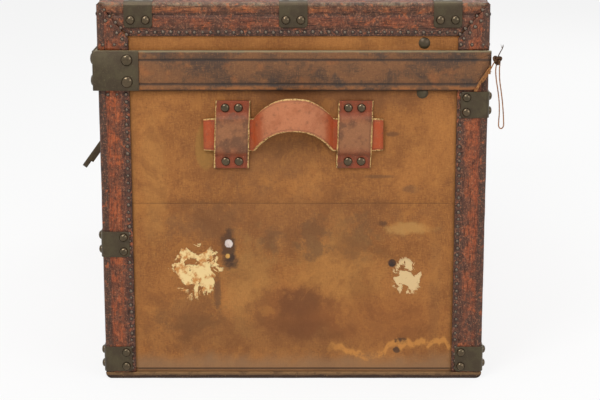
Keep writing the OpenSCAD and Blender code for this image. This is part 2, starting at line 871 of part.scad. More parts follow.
// Hinge plate on the band, its two ears holding the pin
module hasp_plate() {
    back = -face_y - band_out;
    ear_w = 6;
    color(metal) difference() {
        union() {
            span([-hasp_w / 2 - 8, back - hasp_back_t, hasp_z - 8], [hasp_w / 2 + 8, back, hasp_z + 12]);
            for (s = [-1, 1])
                translate([s * (hasp_w / 2 + 0.5 + ear_w / 2) - ear_w / 2, hasp_y, hasp_z]) union() {
                rotate([0, 90, 0]) cylinder(r = hasp_r, h = ear_w, $fn = 48);
                span([0, 0, -hasp_r], [ear_w, back - hasp_y, hasp_r]);
            }
        }
        translate([-hasp_w, hasp_y, hasp_z]) rotate([0, 90, 0])
            cylinder(r = hasp_pin_r + pin_gap, h = 2 * hasp_w, $fn = 32);
    }
}

module hasp_pin() {
    color(metal) translate([-hasp_w / 2 - 7, hasp_y, hasp_z]) rotate([0, 90, 0])
        cylinder(r = hasp_pin_r, h = hasp_w + 14, $fn = 32);
}

module hasp() {
    eye = 7;
    color(metal) translate([0, hasp_y, hasp_z]) rotate([-hasp_angle, 0, 0]) difference() {
        union() {
            translate([-hasp_w / 2, 0, 0]) rotate([0, 90, 0]) cylinder(r = hasp_r, h = hasp_w, $fn = 48);
            translate([0, hasp_t - 1, 0]) rotate([90, 0, 0]) linear_extrude(height = hasp_t) union() {
                translate([-hasp_w / 2, -hasp_l + 14]) square([hasp_w, hasp_l - 14]);
                translate([0, -hasp_l + hasp_w / 2]) circle(r = hasp_w / 2, $fn = 48);
            }
            translate([-3, 0, -hasp_l + 14]) cube([6, eye, 7]);
        }
        translate([-hasp_w, 0, 0]) rotate([0, 90, 0])
            cylinder(r = hasp_pin_r + pin_gap, h = 2 * hasp_w, $fn = 32);
    }
}

module clasp_plate(x) {
    plate_w = tongue_w + 18;
    back = -canvas_y - 2;
    inner = tongue_w / 2 + 0.5;
    translate([x, 0, 0]) difference() {
        union() {
            span([-plate_w / 2, back, clasp_z - 16], [plate_w / 2, -canvas_y, clasp_z + 30]);
            for (s = [-1, 1]) translate([s * (inner + ear_t / 2) - ear_t / 2, clasp_y, clasp_z]) union() {
                rotate([0, 90, 0]) cylinder(r = ear_r, h = ear_t, $fn = 48);
                span([0, 0, -ear_r], [ear_t, back - clasp_y + 0.5, ear_r]);
            }
        }
        translate([-plate_w, clasp_y, clasp_z]) rotate([0, 90, 0])
            cylinder(r = clasp_pin_r + 0.02, h = 2 * plate_w, $fn = 32);
    }
    translate([x - inner - ear_t, clasp_y, clasp_z]) rotate([0, 90, 0])
        cylinder(r = clasp_pin_r + 0.02, h = ear_t, $fn = 32);
    translate([x + inner, clasp_y, clasp_z]) rotate([0, 90, 0])
        cylinder(r = clasp_pin_r + 0.02, h = ear_t, $fn = 32);
    translate([x - inner - ear_t, clasp_y, clasp_z]) rotate([0, 90, 0])
        cylinder(r = clasp_pin_r, h = 2 * (inner + ear_t), $fn = 32);
}

module clasp_plates() {
    color(metal) for (x = [-clasp_x, clasp_x]) union() { clasp_plate(x); }
}

// Plate on the band above each clasp, with a hook that the tongue's slot drops over
module clasp_catches() {
    back = -face_y - band_out;
    plate_t = 1.8;
    low = clasp_z + 44;
    out = 12;
    color(metal) for (x = [-clasp_x, clasp_x]) union() {
        span([x - 15, back - plate_t, low - 6], [x + 15, back, band_z + 38]);
        span([x - 3, back - out, low], [x + 3, back - plate_t, low + 3]);
        span([x - 3, back - out, low], [x + 3, back - out + 2, low + 8]);
    }
}

// The flat of a tongue, hanging from its pin: a bar with a round tip and a slot
module tongue_outline() {
    slot_w = 7;
    slot_l = 34;
    slot_end = 10;
    difference() {
        union() {
            translate([-tongue_w / 2, tongue_w / 2 - tongue_l])
                square([tongue_w, tongue_l - tongue_w / 2]);
            translate([0, tongue_w / 2 - tongue_l]) circle(r = tongue_w / 2, $fn = 48);
        }
        translate([-slot_w / 2, slot_end - tongue_l]) square([slot_w, slot_l]);
    }
}

// A tongue hangs open, at an angle from its pin, with two springs under it
module tongue(x) {
    spring_w = 2.6;
    spring_t = 3;
    spring_end = 14;
    sunk = 0.5;
    color(metal) translate([x, clasp_y, clasp_z]) rotate([-tongue_angle, 0, 0]) difference() {
        union() {
            rotate([0, 90, 0]) translate([0, 0, -tongue_w / 2])
                cylinder(r = ear_r, h = tongue_w, $fn = 48);
            translate([0, tongue_t / 2, 0]) rotate([90, 0, 0]) linear_extrude(height = tongue_t)
                tongue_outline();
            for (s = [-1, 1])
                translate([s * (tongue_w - spring_w) / 2 - spring_w / 2, tongue_t / 2 - sunk,
                    spring_end - tongue_l])
                    cube([spring_w, spring_t + sunk, tongue_l - spring_end - 20]);
        }
        translate([-tongue_w, 0, 0]) rotate([0, 90, 0])
            cylinder(r = clasp_pin_r + pin_gap, h = 2 * tongue_w, $fn = 32);
    }
}

module clasp_tongues_left() { tongue(-clasp_x); }

module clasp_tongues_right() { tongue(clasp_x); }

// ---------- Twine ----------

// A smooth curve through the route's points
function curve(a, b, c, d, t) = 0.5 * (2 * b + (c - a) * t
    + (2 * a - 5 * b + 4 * c - d) * t * t + (3 * b - a - 3 * c + d) * t * t * t);
function unit(v) = v / norm(v);
function rings(route, steps) = concat(
    [for (i = [0 : len(route) - 2], k = [0 : steps - 1])
        curve(route[max(i - 1, 0)], route[i], route[i + 1], route[min(i + 2, len(route) - 1)], k / steps)],
    [route[len(route) - 1]]);

module cord(route, d, sides, steps) {
    line = rings(route, steps);
    last = len(line) - 1;
    ahead = [for (i = [0 : last]) unit(line[min(i + 1, last)] - line[max(i - 1, 0)])];
    side = [for (v = ahead) unit(cross([1, 0.02, 0.03], v))];
    points = [for (i = [0 : last], s = [0 : sides - 1])
        let (up = cross(ahead[i], side[i]), a = 360 * s / sides)
        line[i] + d / 2 * (cos(a) * side[i] + sin(a) * up)];
    walls = [for (i = [0 : last - 1], s = [0 : sides - 1])
        let (t = (s + 1) % sides, a = i * sides, b = a + sides) [a + s, b + s, b + t, a + t]];
    caps = [[for (s = [0 : sides - 1]) s], [for (s = [sides - 1 : -1 : 0]) last * sides + s]];
    polyhedron(points = points, faces = concat(walls, caps), convexity = 8);
}

module twine() {
    color(cord_tan) translate(twine_shift) cord(twine_route, twine_d, twine_sides, twine_steps);
}

module twine_knot() {
    color(cord_tan) translate(twine_shift) union() {
        translate(knot_at) sphere(r = knot_r, $fn = 24);
        translate(knot_at) rotate([-23, 0, 0]) cylinder(r = twine_d / 2, h = 15.5, $fn = 16);
    }
}

base_board();
front_board();
rear_board();
left_end_board();
right_end_board();
front_canvas();
rear_canvas();
left_end_canvas();
right_end_canvas();
bottom_canvas();
corner_bindings();
bottom_binding();
body_lining();
body_clamps();
body_rivets();
tray_ledges();
tray_side_walls();
tray_end_walls();
tray_bottom();
tray_pulls();
lid_top_board();
lid_front_board();
lid_rear_board();
lid_end_boards();
lid_top_canvas();
lid_front_canvas();
lid_rear_canvas();
lid_end_canvases();
lid_edge_bindings();
lid_corner_patches();
lid_front_band();
lid_end_bands();
band_caps();
lid_clamps();
lid_rivets();
lid_lining();
hinge_body_leaves();
hinge_lid_leaves();
hinge_pins();
stay_body_studs();
stay_lid_studs();
left_stay_lower();
left_stay_upper();
right_stay_lower();
right_stay_upper();
handle_loops();
handle_rivets();
left_handle_strap();
right_handle_strap();
lock_case();
lock_escutcheon();
hasp_plate();
hasp();
hasp_pin();
clasp_plates();
clasp_catches();
clasp_tongues_left();
clasp_tongues_right();
twine();
twine_knot();
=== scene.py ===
# %% [markdown]
# # A steamer trunk
# A wooden case under canvas, bound in leather, with a banded lid, metal clamps and a
# strap handle at each end. The moving parts and their exact places come from a frame
# that was made before. This lesson dresses that frame: it keeps the hard parts, and
# remakes the leather, cloth and cord as meshes with real thickness and wear.

# %% Load the frame
import math

import bmesh
import bpy
from mathutils import Matrix, Vector, noise


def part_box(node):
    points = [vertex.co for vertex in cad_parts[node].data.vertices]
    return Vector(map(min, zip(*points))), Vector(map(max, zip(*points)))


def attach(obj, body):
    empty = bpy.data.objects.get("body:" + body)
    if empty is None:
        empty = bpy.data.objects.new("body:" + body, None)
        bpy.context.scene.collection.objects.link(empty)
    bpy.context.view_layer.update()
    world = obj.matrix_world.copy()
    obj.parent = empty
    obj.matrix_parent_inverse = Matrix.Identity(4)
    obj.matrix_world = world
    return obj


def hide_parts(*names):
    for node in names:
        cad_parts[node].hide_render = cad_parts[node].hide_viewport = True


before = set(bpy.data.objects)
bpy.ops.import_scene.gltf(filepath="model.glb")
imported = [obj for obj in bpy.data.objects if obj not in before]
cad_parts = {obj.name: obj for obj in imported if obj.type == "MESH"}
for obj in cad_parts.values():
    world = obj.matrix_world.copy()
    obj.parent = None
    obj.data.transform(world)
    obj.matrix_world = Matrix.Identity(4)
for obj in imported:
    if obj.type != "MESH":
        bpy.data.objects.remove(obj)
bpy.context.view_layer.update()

# %% [markdown]
# ## Where things are
# Most pieces below are placed from the frame's own boxes, so little is measured twice.
# The leather faces are the outermost plain faces of the body, the canvas lies a
# leather's thickness deeper, and the lid starts where the body's leather ends. The
# band is torn from TEAR_Y on, and LAP is the height of the seam in the end panels.

# %% Levels and faces
MM = 0.001
leather_low, leather_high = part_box("corner_bindings")
END, SIDE = leather_high.x, leather_high.y
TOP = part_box("lid_edge_bindings")[1].z
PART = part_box("right_end_canvas")[1].z
CANVAS_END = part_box("right_end_canvas")[1].x
CANVAS_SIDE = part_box("rear_canvas")[1].y
BAND_LOW, BAND_HIGH = (corner.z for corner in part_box("lid_front_band"))
SKIN = END - CANVAS_END
TEAR_Y, TEAR_RISE = SIDE - 16 * MM, 27 * MM
LAP = 0.238
UP = Vector((0, 0, 1))
CORNERS = [(sx, sy) for sx in (-1, 1) for sy in (-1, 1)]
print(f"trunk {2 * END:.3f} x {2 * SIDE:.3f} x {TOP:.3f} m, leather {SKIN / MM:.1f} mm")

# %% [markdown]
# ## The camera
# It looks straight at the right end from a little above, from far enough away that
# the end stays almost square. It comes first, because what the camera sees decides
# how a loose cord may lie.

# %% Camera
scene = bpy.context.scene
scene.view_settings.view_transform = "Standard"
camera_data = bpy.data.cameras.new("camera")
camera_data.lens, camera_data.sensor_width = 97.4, 36
camera = bpy.data.objects.new("camera", camera_data)
scene.collection.objects.link(camera)
target = Vector((END, 0.0085, 0.2437))
elevation, distance = math.radians(13), 2.11
camera.location = target + distance * Vector((math.cos(elevation), 0, math.sin(elevation)))
camera.rotation_euler = (target - camera.location).to_track_quat("-Z", "Y").to_euler()
scene.camera = camera
print("camera at", tuple(round(v, 3) for v in camera.location))

# %% [markdown]
# ## Making meshes in code
# Most pieces here are a line of points carried along a path: leather edging, a
# strap, a cord. So one helper joins rings of points with quads. Each point may also
# carry a pair of lengths, across and along the strip, which the materials read to
# follow the strip round its corners.

# %% Mesh helpers
MERGE = 2e-6


def show(name, data):
    """An object with this data, linked to the scene."""
    made = bpy.data.objects.new(name, data)
    scene.collection.objects.link(made)
    return made


def build(name, points, faces, lay=None):
    """A smooth mesh object at the origin; lay holds metres across and along per point."""
    mesh = bpy.data.meshes.new(name)
    mesh.from_pydata([tuple(p) for p in points], [], faces)
    if lay:
        layer = mesh.uv_layers.new(name="lay")
        for loop in mesh.loops:
            layer.data[loop.index].uv = lay[loop.vertex_index]
    mesh.shade_smooth()
    return show(name, mesh)


def skin_rings(rings):
    """Quads between rings of equal size, with a cap at each end."""
    size, count = len(rings[0]), len(rings)
    faces = []
    for i in range(count - 1):
        a, b = i * size, (i + 1) * size
        faces += [(a + k, a + (k + 1) % size, b + (k + 1) % size, b + k) for k in range(size)]
    faces += [tuple(range(size - 1, -1, -1)), tuple(range((count - 1) * size, count * size))]
    return [p for ring in rings for p in ring], faces


def outward(piece):
    """Merges doubles and turns all faces outwards."""
    mesh = bmesh.new()
    mesh.from_mesh(piece.data)
    bmesh.ops.remove_doubles(mesh, verts=mesh.verts, dist=MERGE / 2)
    bmesh.ops.recalc_face_normals(mesh, faces=mesh.faces)
    mesh.to_mesh(piece.data)
    mesh.free()
    return piece


def from_bmesh(name, mesh):
    """A smooth object from an edited mesh, which is freed."""
    data = bpy.data.meshes.new(name)
    mesh.to_mesh(data)
    mesh.free()
    data.shade_smooth()
    return show(name, data)


def join(name, pieces):
    """One object out of several."""
    mesh = bmesh.new()
    for piece in pieces:
        mesh.from_mesh(piece.data)
        bpy.data.objects.remove(piece)
    return from_bmesh(name, mesh)


def merged(node):
    """The mesh of a frame node, open for editing, with its doubled points merged."""
    mesh = bmesh.new()
    mesh.from_mesh(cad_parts[node].data)
    bmesh.ops.remove_doubles(mesh, verts=mesh.verts, dist=MERGE)
    return mesh


def ahead_at(line, i):
    """The direction of a line of points at point i."""
    return (line[min(i + 1, len(line) - 1)] - line[max(i - 1, 0)]).normalized()


def rough(x, y, z, size):
    """Smooth noise from -1 to 1 whose bumps are about size apart."""
    return noise.noise(Vector((x, y, z)) / size)


def sign(value):
    return 1 if value > 0 else -1

# %% [markdown]
# ## The twine
# A short end of two-ply twine is tied to the worn corner of the band. It leaves the
# band sideways, is knotted, and a doubled length hangs down behind. A curve with a
# bevel would give a round cord. Here a ring with two lobes is turned as it travels,
# which gives the two plies that a close look shows.

# %% Twine, knot and tail
TWINE_ROUTE = [
    (454.3, 240, 399), (457, 240.4, 399.4), (460, 243, 402.5), (461.4, 247, 410),
    (461.5, 250.8, 417.5), (461.5, 254.4, 424.6), (461.5, 258.2, 428.2),
    (461.5, 261.8, 425), (461.5, 261.6, 416.5),
    (461.5, 262.4, 402), (461.5, 264.6, 388), (461.5, 266.6, 374), (461.5, 268, 360),
    (461.5, 268.7, 350), (461.5, 268.8, 344.2), (461.5, 267.3, 340.9), (461.5, 264.6, 340.4),
    (461.5, 262.6, 343.4), (461.5, 262.5, 350), (461.5, 262.9, 361), (461.5, 262.3, 375),
    (461.5, 260.4, 389), (461.5, 258, 403), (461.5, 256.9, 414), (461.5, 257.4, 422)]
TAIL_ROUTE = [(461.5, 259, 431), (461.6, 260.4, 435), (461.7, 261.8, 438), (461.5, 263.2, 440.6),
              (461.3, 264.4, 442.6)]
TWINE_D = 1.6 * MM
KNOT = Vector((461.5, 258.7, 428.5)) * MM
KNOT_STRAND = 1.9 * MM
print(len(TWINE_ROUTE), "points on the twine's route")

# %% [markdown]
# The route has few points, so a smooth curve is laid through them first. Then a ring
# is carried along it, and its size shrinks towards the end where a strand frays.

# %% Laying a cord along a line
def smooth_route(route, steps):
    """Points of a smooth curve through the route."""
    p = [Vector(q) for q in route]
    p = [p[0]] + p + [p[-1]]
    line = []
    for i in range(1, len(p) - 2):
        for k in range(steps):
            t = k / steps
            line.append(0.5 * (2 * p[i] + (p[i + 1] - p[i - 1]) * t
                               + (2 * p[i - 1] - 5 * p[i] + 4 * p[i + 1] - p[i + 2]) * t * t
                               + (3 * p[i] - p[i - 1] - 3 * p[i + 1] + p[i + 2]) * t ** 3))
    return line + [p[-1]]


def plied_cord(name, line, radius, pitch, sides=12, taper=0.0):
    """A cord of two plies along a line of points."""
    side = Vector((1, 0.02, 0.03))
    rings, lay, run = [], [], 0.0
    for i, point in enumerate(line):
        ahead = ahead_at(line, i)
        run += (point - line[i - 1]).length if i else 0
        side = (side - side.dot(ahead) * ahead).normalized()
        up = ahead.cross(side)
        size = radius * (1 - taper * i / len(line))
        ring = []
        for k in range(sides):
            a = 2 * math.pi * k / sides
            lobe = 0.82 + 0.18 * abs(math.cos(a - 2 * math.pi * run / pitch))
            ring.append(point + size * lobe * (math.cos(a) * side + math.sin(a) * up))
            lay.append((k / sides, run / pitch))
        rings.append(ring)
    return outward(build(name, *skin_rings(rings), lay))


print("cord helpers ready")

# %% [markdown]
# The knot is a trefoil, which is the simplest closed line that is really knotted.
# Its strand is thick, so that the turns press together. Loose fibres stand out of the
# cut tail.

# %% Twine and knot
twine_line = [p * MM for p in smooth_route(TWINE_ROUTE, 8)]
twine_length = sum((b - a).length for a, b in zip(twine_line, twine_line[1:]))
twine_piece = plied_cord("twine_cord", twine_line, TWINE_D / 2, 5 * MM)

trefoil = []
for k in range(72):
    t = 2 * math.pi * k / 72
    trefoil.append(KNOT + 1.65 * MM * Vector((
        -1.3 * math.sin(3 * t), math.sin(t) + 2 * math.sin(2 * t),
        math.cos(t) - 2 * math.cos(2 * t))))
tail_line = [p * MM for p in smooth_route(TAIL_ROUTE, 8)]
strands = [plied_cord("knot_turns", trefoil + trefoil[:2], KNOT_STRAND, 9 * MM),
           plied_cord("knot_tail", tail_line, TWINE_D / 2, 5 * MM, taper=0.3)]
for k in range(7):
    a = 2.4 * k
    reach = Vector((math.cos(a) * 1.6, math.sin(a) * 2.2, 4.5 + 1.5 * math.sin(3 * a))) * MM
    tip = tail_line[-1]
    fibre = [tip - Vector((0, 0, MM)), tip + reach * 0.5, tip + reach]
    strands.append(plied_cord("knot_fibre", fibre, 0.22 * MM, 5 * MM, sides=5, taper=0.5))
knot_piece = join("twine_knot_turns", strands)
print(f"twine {twine_length:.3f} m long, {len(twine_line)} points")

# %% [markdown]
# ## Writing materials as sums
# A material is a graph of nodes, and long graphs are hard to read when every node is
# placed by hand. So a small class stands for one value in the graph. Adding,
# multiplying or comparing two of them adds the Math node that does it, and one
# method makes any other kind of node.

# %% A value in a material
class Wire:
    """One value in the material that is being written; operators add Math nodes."""
    tree = None

    def __init__(self, socket):
        self.socket = socket

    @classmethod
    def node(cls, kind, inputs, out=0, stops=None, **settings):
        """Any node: its settings first, then the values or links of its sockets."""
        made = cls.tree.nodes.new(kind)
        for key, value in settings.items():
            setattr(made, key, value)
        if stops:
            ramp = made.color_ramp
            while len(ramp.elements) < len(stops):
                ramp.elements.new(1.0)
            for element, (place, colour) in zip(ramp.elements, stops):
                element.position, element.color = place, colour
        for key, value in inputs.items():
            if isinstance(value, Wire):
                cls.tree.links.new(value.socket, made.inputs[key])
            else:
                made.inputs[key].default_value = value
        return cls(made.outputs[out]) if made.outputs else None

    def maths(self, operation, *others):
        inputs = {0: self}
        inputs.update({i + 1: other for i, other in enumerate(others)})
        return Wire.node("ShaderNodeMath", inputs, operation=operation)

    def __add__(self, other): return self.maths("ADD", other)
    def __radd__(self, other): return self.maths("ADD", other)
    def __sub__(self, other): return self.maths("SUBTRACT", other)
    def __rsub__(self, other): return (self * -1.0).maths("ADD", other)
    def __mul__(self, other): return self.maths("MULTIPLY", other)
    def __rmul__(self, other): return self.maths("MULTIPLY", other)
    def __truediv__(self, other): return self.maths("DIVIDE", other)
    def __abs__(self): return self.maths("ABSOLUTE")


print("a value in a material is a", Wire.__name__)

# %% [markdown]
# ## Colours, steps and noise
# Four small things do nearly all the painting: a colour as it looks on a screen, a
# soft step from 0 to 1, a mix of two colours, and cloudy noise. Stains are layers of
# these, so one helper paints a list of them in order.

# %% Colours, steps and noise
def tone(red, green, blue):
    """A colour written as on a screen, 0 to 255, as the linear colour that nodes use."""
    line = [c / 255 for c in (red, green, blue)]
    return tuple(c / 12.92 if c <= 0.04045 else ((c + 0.055) / 1.055) ** 2.4 for c in line) + (1.0,)


def edge(value, start, end):
    """0 before start, 1 after end, and a soft step between; start may be above end."""
    low, high = min(start, end), max(start, end)
    step = Wire.node("ShaderNodeMapRange", {0: value, 1: low, 2: high},
                     interpolation_type="SMOOTHSTEP")
    return step if start < end else 1 - step


def mix(factor, first, second, blend="MIX"):
    """Colours mixed by a factor."""
    return Wire.node("ShaderNodeMix", {0: factor, 6: first, 7: second}, out=2,
                     data_type="RGBA", blend_type=blend, clamp_factor=True)


def painted(colour, *layers):
    """The colour with layers over it, each (value, start, end, strength, colour on a screen)."""
    for value, start, end, strength, over in layers:
        colour = mix(edge(value, start, end) * strength, colour, tone(*over))
    return colour


def spots(vector, scale, detail=3.0, roughness=0.55, distortion=0.0):
    """Cloudy noise from 0 to 1."""
    return Wire.node("ShaderNodeTexNoise", {
        "Vector": vector, "Scale": scale, "Detail": detail,
        "Roughness": roughness, "Distortion": distortion})


def stretched(vector, x, y, z):
    """The vector scaled, so that noise on it becomes streaks."""
    return Wire.node("ShaderNodeVectorMath", {0: vector, 1: (x, y, z)}, operation="MULTIPLY")


def axes(vector):
    """The three parts of a vector."""
    made = Wire.tree.nodes.new("ShaderNodeSeparateXYZ")
    Wire.tree.links.new(vector.socket, made.inputs[0])
    return [Wire(output) for output in made.outputs]


print("colour helpers ready")

# %% [markdown]
# ## Starting and ending a material
# Every material starts with empty nodes and ends in the same surface shader. What
# differs is the colour, the roughness and the bump, so these are handed to one
# function.

# %% Starting and ending a material
def write_into(owner):
    """Empties the nodes of a material or world, and adds further nodes there."""
    owner.use_nodes = True
    Wire.tree = owner.node_tree
    Wire.tree.nodes.clear()


def start_material(name):
    """A new material to write, and its object coordinates."""
    material = bpy.data.materials.new(name)
    write_into(material)
    return material, Wire.node("ShaderNodeTexCoord", {}, out="Object")


def end_material(material, colour, roughness, height, depth, metallic=0.0, shine=0.25):
    """The surface shader, with a bump of depth metres; shine is low on cloth and old leather."""
    bump = Wire.node("ShaderNodeBump", {"Height": height, "Distance": depth, "Strength": 1.0})
    inputs = {"Base Color": colour, "Roughness": roughness, "Metallic": metallic, "Normal": bump,
              "Specular IOR Level": shine}
    shader = Wire.node("ShaderNodeBsdfPrincipled", inputs)
    Wire.node("ShaderNodeOutputMaterial", {"Surface": shader})
    material.diffuse_color = (0.4, 0.3, 0.2, 1)
    return material


print("helpers ready")

# %% [markdown]
# ## Canvas
# The panels are a coarse, varnished linen. Its threads run along the three axes of
# the trunk, so three sine waves added together give a grid of threads on any of its
# faces. Slow noise fades and darkens the cloth, and streaks along both thread
# directions give the slubs.

# %% Canvas cloth
THREAD = 1.25 * MM


def weave(place, period):
    """Height of a plain weave, about 0 to 1."""
    wobble = spots(place, 90, 2) * 0.9
    x, y, z = axes(place)
    waves = [(c * (2 * math.pi / period) + wobble).maths("SINE") for c in (x, y, z)]
    return (waves[0] + waves[1] + waves[2]) * 0.17 + 0.5


def slubs(place):
    """Uneven threads, about 0 to 1."""
    across = spots(stretched(place, 150, 150, 700), 1, 2, 0.6)
    down = spots(stretched(place, 700, 700, 150), 1, 2, 0.6)
    return (across + down) * 0.5


def cloth_colour(place):
    """The varnished linen's colour and its fine height."""
    fine, thread = slubs(place), weave(place, THREAD)
    cloud, patch = spots(place, 7, 5, 0.62, 0.4), spots(place, 24, 5, 0.66)
    grain = spots(place, 430, 3, 0.75)
    colour = mix(edge(cloud, 0.36, 0.66), tone(140, 88, 44), tone(172, 112, 57))
    colour = painted(
        colour,
        (patch, 0.54, 0.72, 0.45, (112, 70, 40)),
        (patch, 0.44, 0.30, 0.35, (186, 126, 66)),
        (fine, 0.50, 0.66, 0.30, (196, 138, 76)),
        (fine, 0.50, 0.34, 0.28, (98, 58, 32)),
        (grain, 0.53, 0.68, 0.34, (92, 56, 34)),
        (grain, 0.43, 0.30, 0.30, (202, 142, 78)))
    return colour, thread, fine


def panel_cloth():
    """Plain panels: linen with a grey hem near the ground."""
    material, place = start_material("canvas_plain")
    colour, thread, fine = cloth_colour(place)
    z = axes(place)[2]
    hem = edge(z + spots(place, 25, 3) * 0.02, 0.048, 0.02)
    colour = mix(hem * 0.6, colour, tone(132, 104, 74))
    return end_material(material, colour, 0.62 + fine * 0.2, thread * 0.5 + fine, 0.35 * MM)


canvas_plain = panel_cloth()
print("canvas threads every", THREAD, "m")

# %% [markdown]
# ## The used end
# One end of the trunk has had a harder life. Its marks are kept in a table: where
# each one is, how wide and high, how ragged, and which colour. The row below the
# grip is partly soot and partly painted shadow. The material turns each row into a
# soft ellipse with a torn rim, one after the other, as if they were painted on.

# %% Marks on the used end
# y, z, half width, half height in mm, raggedness, softness, strength, colour
END_MARKS = [
    (-30, 60, 190, 34, 0.9, 0.9, 0.42, (110, 76, 46)),
    (40, 380, 120, 24, 0.7, 0.9, 0.55, (104, 66, 42)),
    (-60, 300, 70, 40, 0.9, 1.0, 0.25, (126, 84, 50)),
    (0, 215, 150, 46, 1.2, 0.9, 0.30, (116, 80, 52)),
    (-115, 215, 50, 26, 1.2, 0.9, 0.35, (112, 78, 50)),
    (60, 150, 60, 60, 1.0, 1.0, 0.28, (172, 126, 66)),
    (-60, 135, 34, 60, 1.0, 1.0, 0.30, (172, 130, 72)),
    (0, 92, 62, 36, 0.6, 0.5, 0.62, (118, 70, 38)),
    (8, 104, 34, 18, 0.9, 0.8, 0.45, (88, 52, 34)),
    (30, 66, 44, 16, 0.8, 0.8, 0.4, (96, 56, 34)),
    (120, 80, 90, 34, 0.8, 0.9, 0.45, (146, 88, 44)),
    (-140, 88, 46, 26, 1.2, 0.9, 0.35, (96, 70, 46)),
    (-86, 178, 10, 26, 0.9, 0.6, 0.8, (66, 48, 38)),
    (-80, 160, 9, 9, 0.8, 0.6, 0.7, (56, 42, 36)),
    (-100, 118, 5, 22, 0.8, 0.7, 0.6, (80, 60, 46)),
    (26, 195, 22, 30, 1.7, 0.7, 0.42, (74, 60, 48)),
    (-30, 192, 13, 16, 1.8, 0.9, 0.35, (78, 64, 50)),
    (86, 188, 20, 34, 1.8, 1.0, 0.30, (82, 66, 50)),
    (128, 330, 9, 3, 0.5, 0.8, 0.6, (84, 60, 44)),
    (106, 332, 3, 9, 0.5, 0.8, 0.5, (90, 64, 46)),
    (112, 274, 20, 2.4, 0.6, 0.8, 0.5, (96, 70, 48)),
    (152, 257, 12, 5, 0.9, 0.9, 0.45, (92, 68, 50)),
    (150, 205, 30, 8, 0.9, 0.7, 0.55, (196, 148, 84)),
    (116, 211, 8, 4, 0.8, 0.8, 0.65, (70, 50, 40)),
    (-180, 262, 16, 90, 0.9, 1.0, 0.22, (180, 132, 72)),
    (-114, 313, 13, 31, 0.15, 0.25, 0.6, (154, 114, 56)),
    (186, 120, 8, 110, 0.8, 1.0, 0.25, (120, 84, 50)),
    (-85, 184, 5, 5.4, 0.8, 0.25, 1.0, (222, 206, 198)),
    (-87, 167, 3, 3.4, 1.0, 0.4, 0.9, (222, 168, 88)),
    (129.5, 157.5, 5.2, 5.6, 0.3, 0.3, 0.95, (44, 38, 38)),
    (143, 50, 8, 5, 0.9, 0.5, 0.8, (60, 46, 38)),
    (137, 38, 5, 4.5, 0.6, 0.5, 0.8, (62, 48, 40)),
    # Below the grip: partly soot, partly painted shadow of the grip.
    (-20, 300, 64, 36, 0.8, 1.0, 0.3, (96, 66, 44)),
]
print(len(END_MARKS), "marks on the used end")

# %% [markdown]
# The distance from a mark's middle, counted in its own half width and half height, is
# 1 on the rim of the ellipse. Adding noise to it tears the rim. Where varnish has
# flaked off, noise is cut at a level instead, which leaves ragged islands.

# %% Stains and flakes
def mark(y, z, wander, row):
    """How strongly one row of the table covers a point."""
    y0, z0, half_y, half_z, ragged, soft, strength, _ = row
    far_y, far_z = (y - y0 * MM) / (half_y * MM), (z - z0 * MM) / (half_z * MM)
    away = (far_y * far_y + far_z * far_z).maths("SQRT") + wander * ragged
    return edge(away, 1 + soft * 0.4, 1 - soft * 0.6) * strength


def flakes(place, y, z, wander, middle, half, grain, limit):
    """Ragged islands of flaked varnish inside an ellipse."""
    far_y, far_z = (y - middle[0] * MM) / (half[0] * MM), (z - middle[1] * MM) / (half[1] * MM)
    inside = edge((far_y * far_y + far_z * far_z).maths("SQRT") + wander, 1.1, 0.7)
    return edge(spots(place, grain, 6, 0.64, 0.7) + inside * 0.16, limit, limit + 0.015) * inside


print("marks and flakes ready")

# %% [markdown]
# Now the cloth itself: the marks first, then the seam, the grey hem, painted shadow under
# the band, painted shade beside the leather, a pale tide line, and the flaked patches on top.

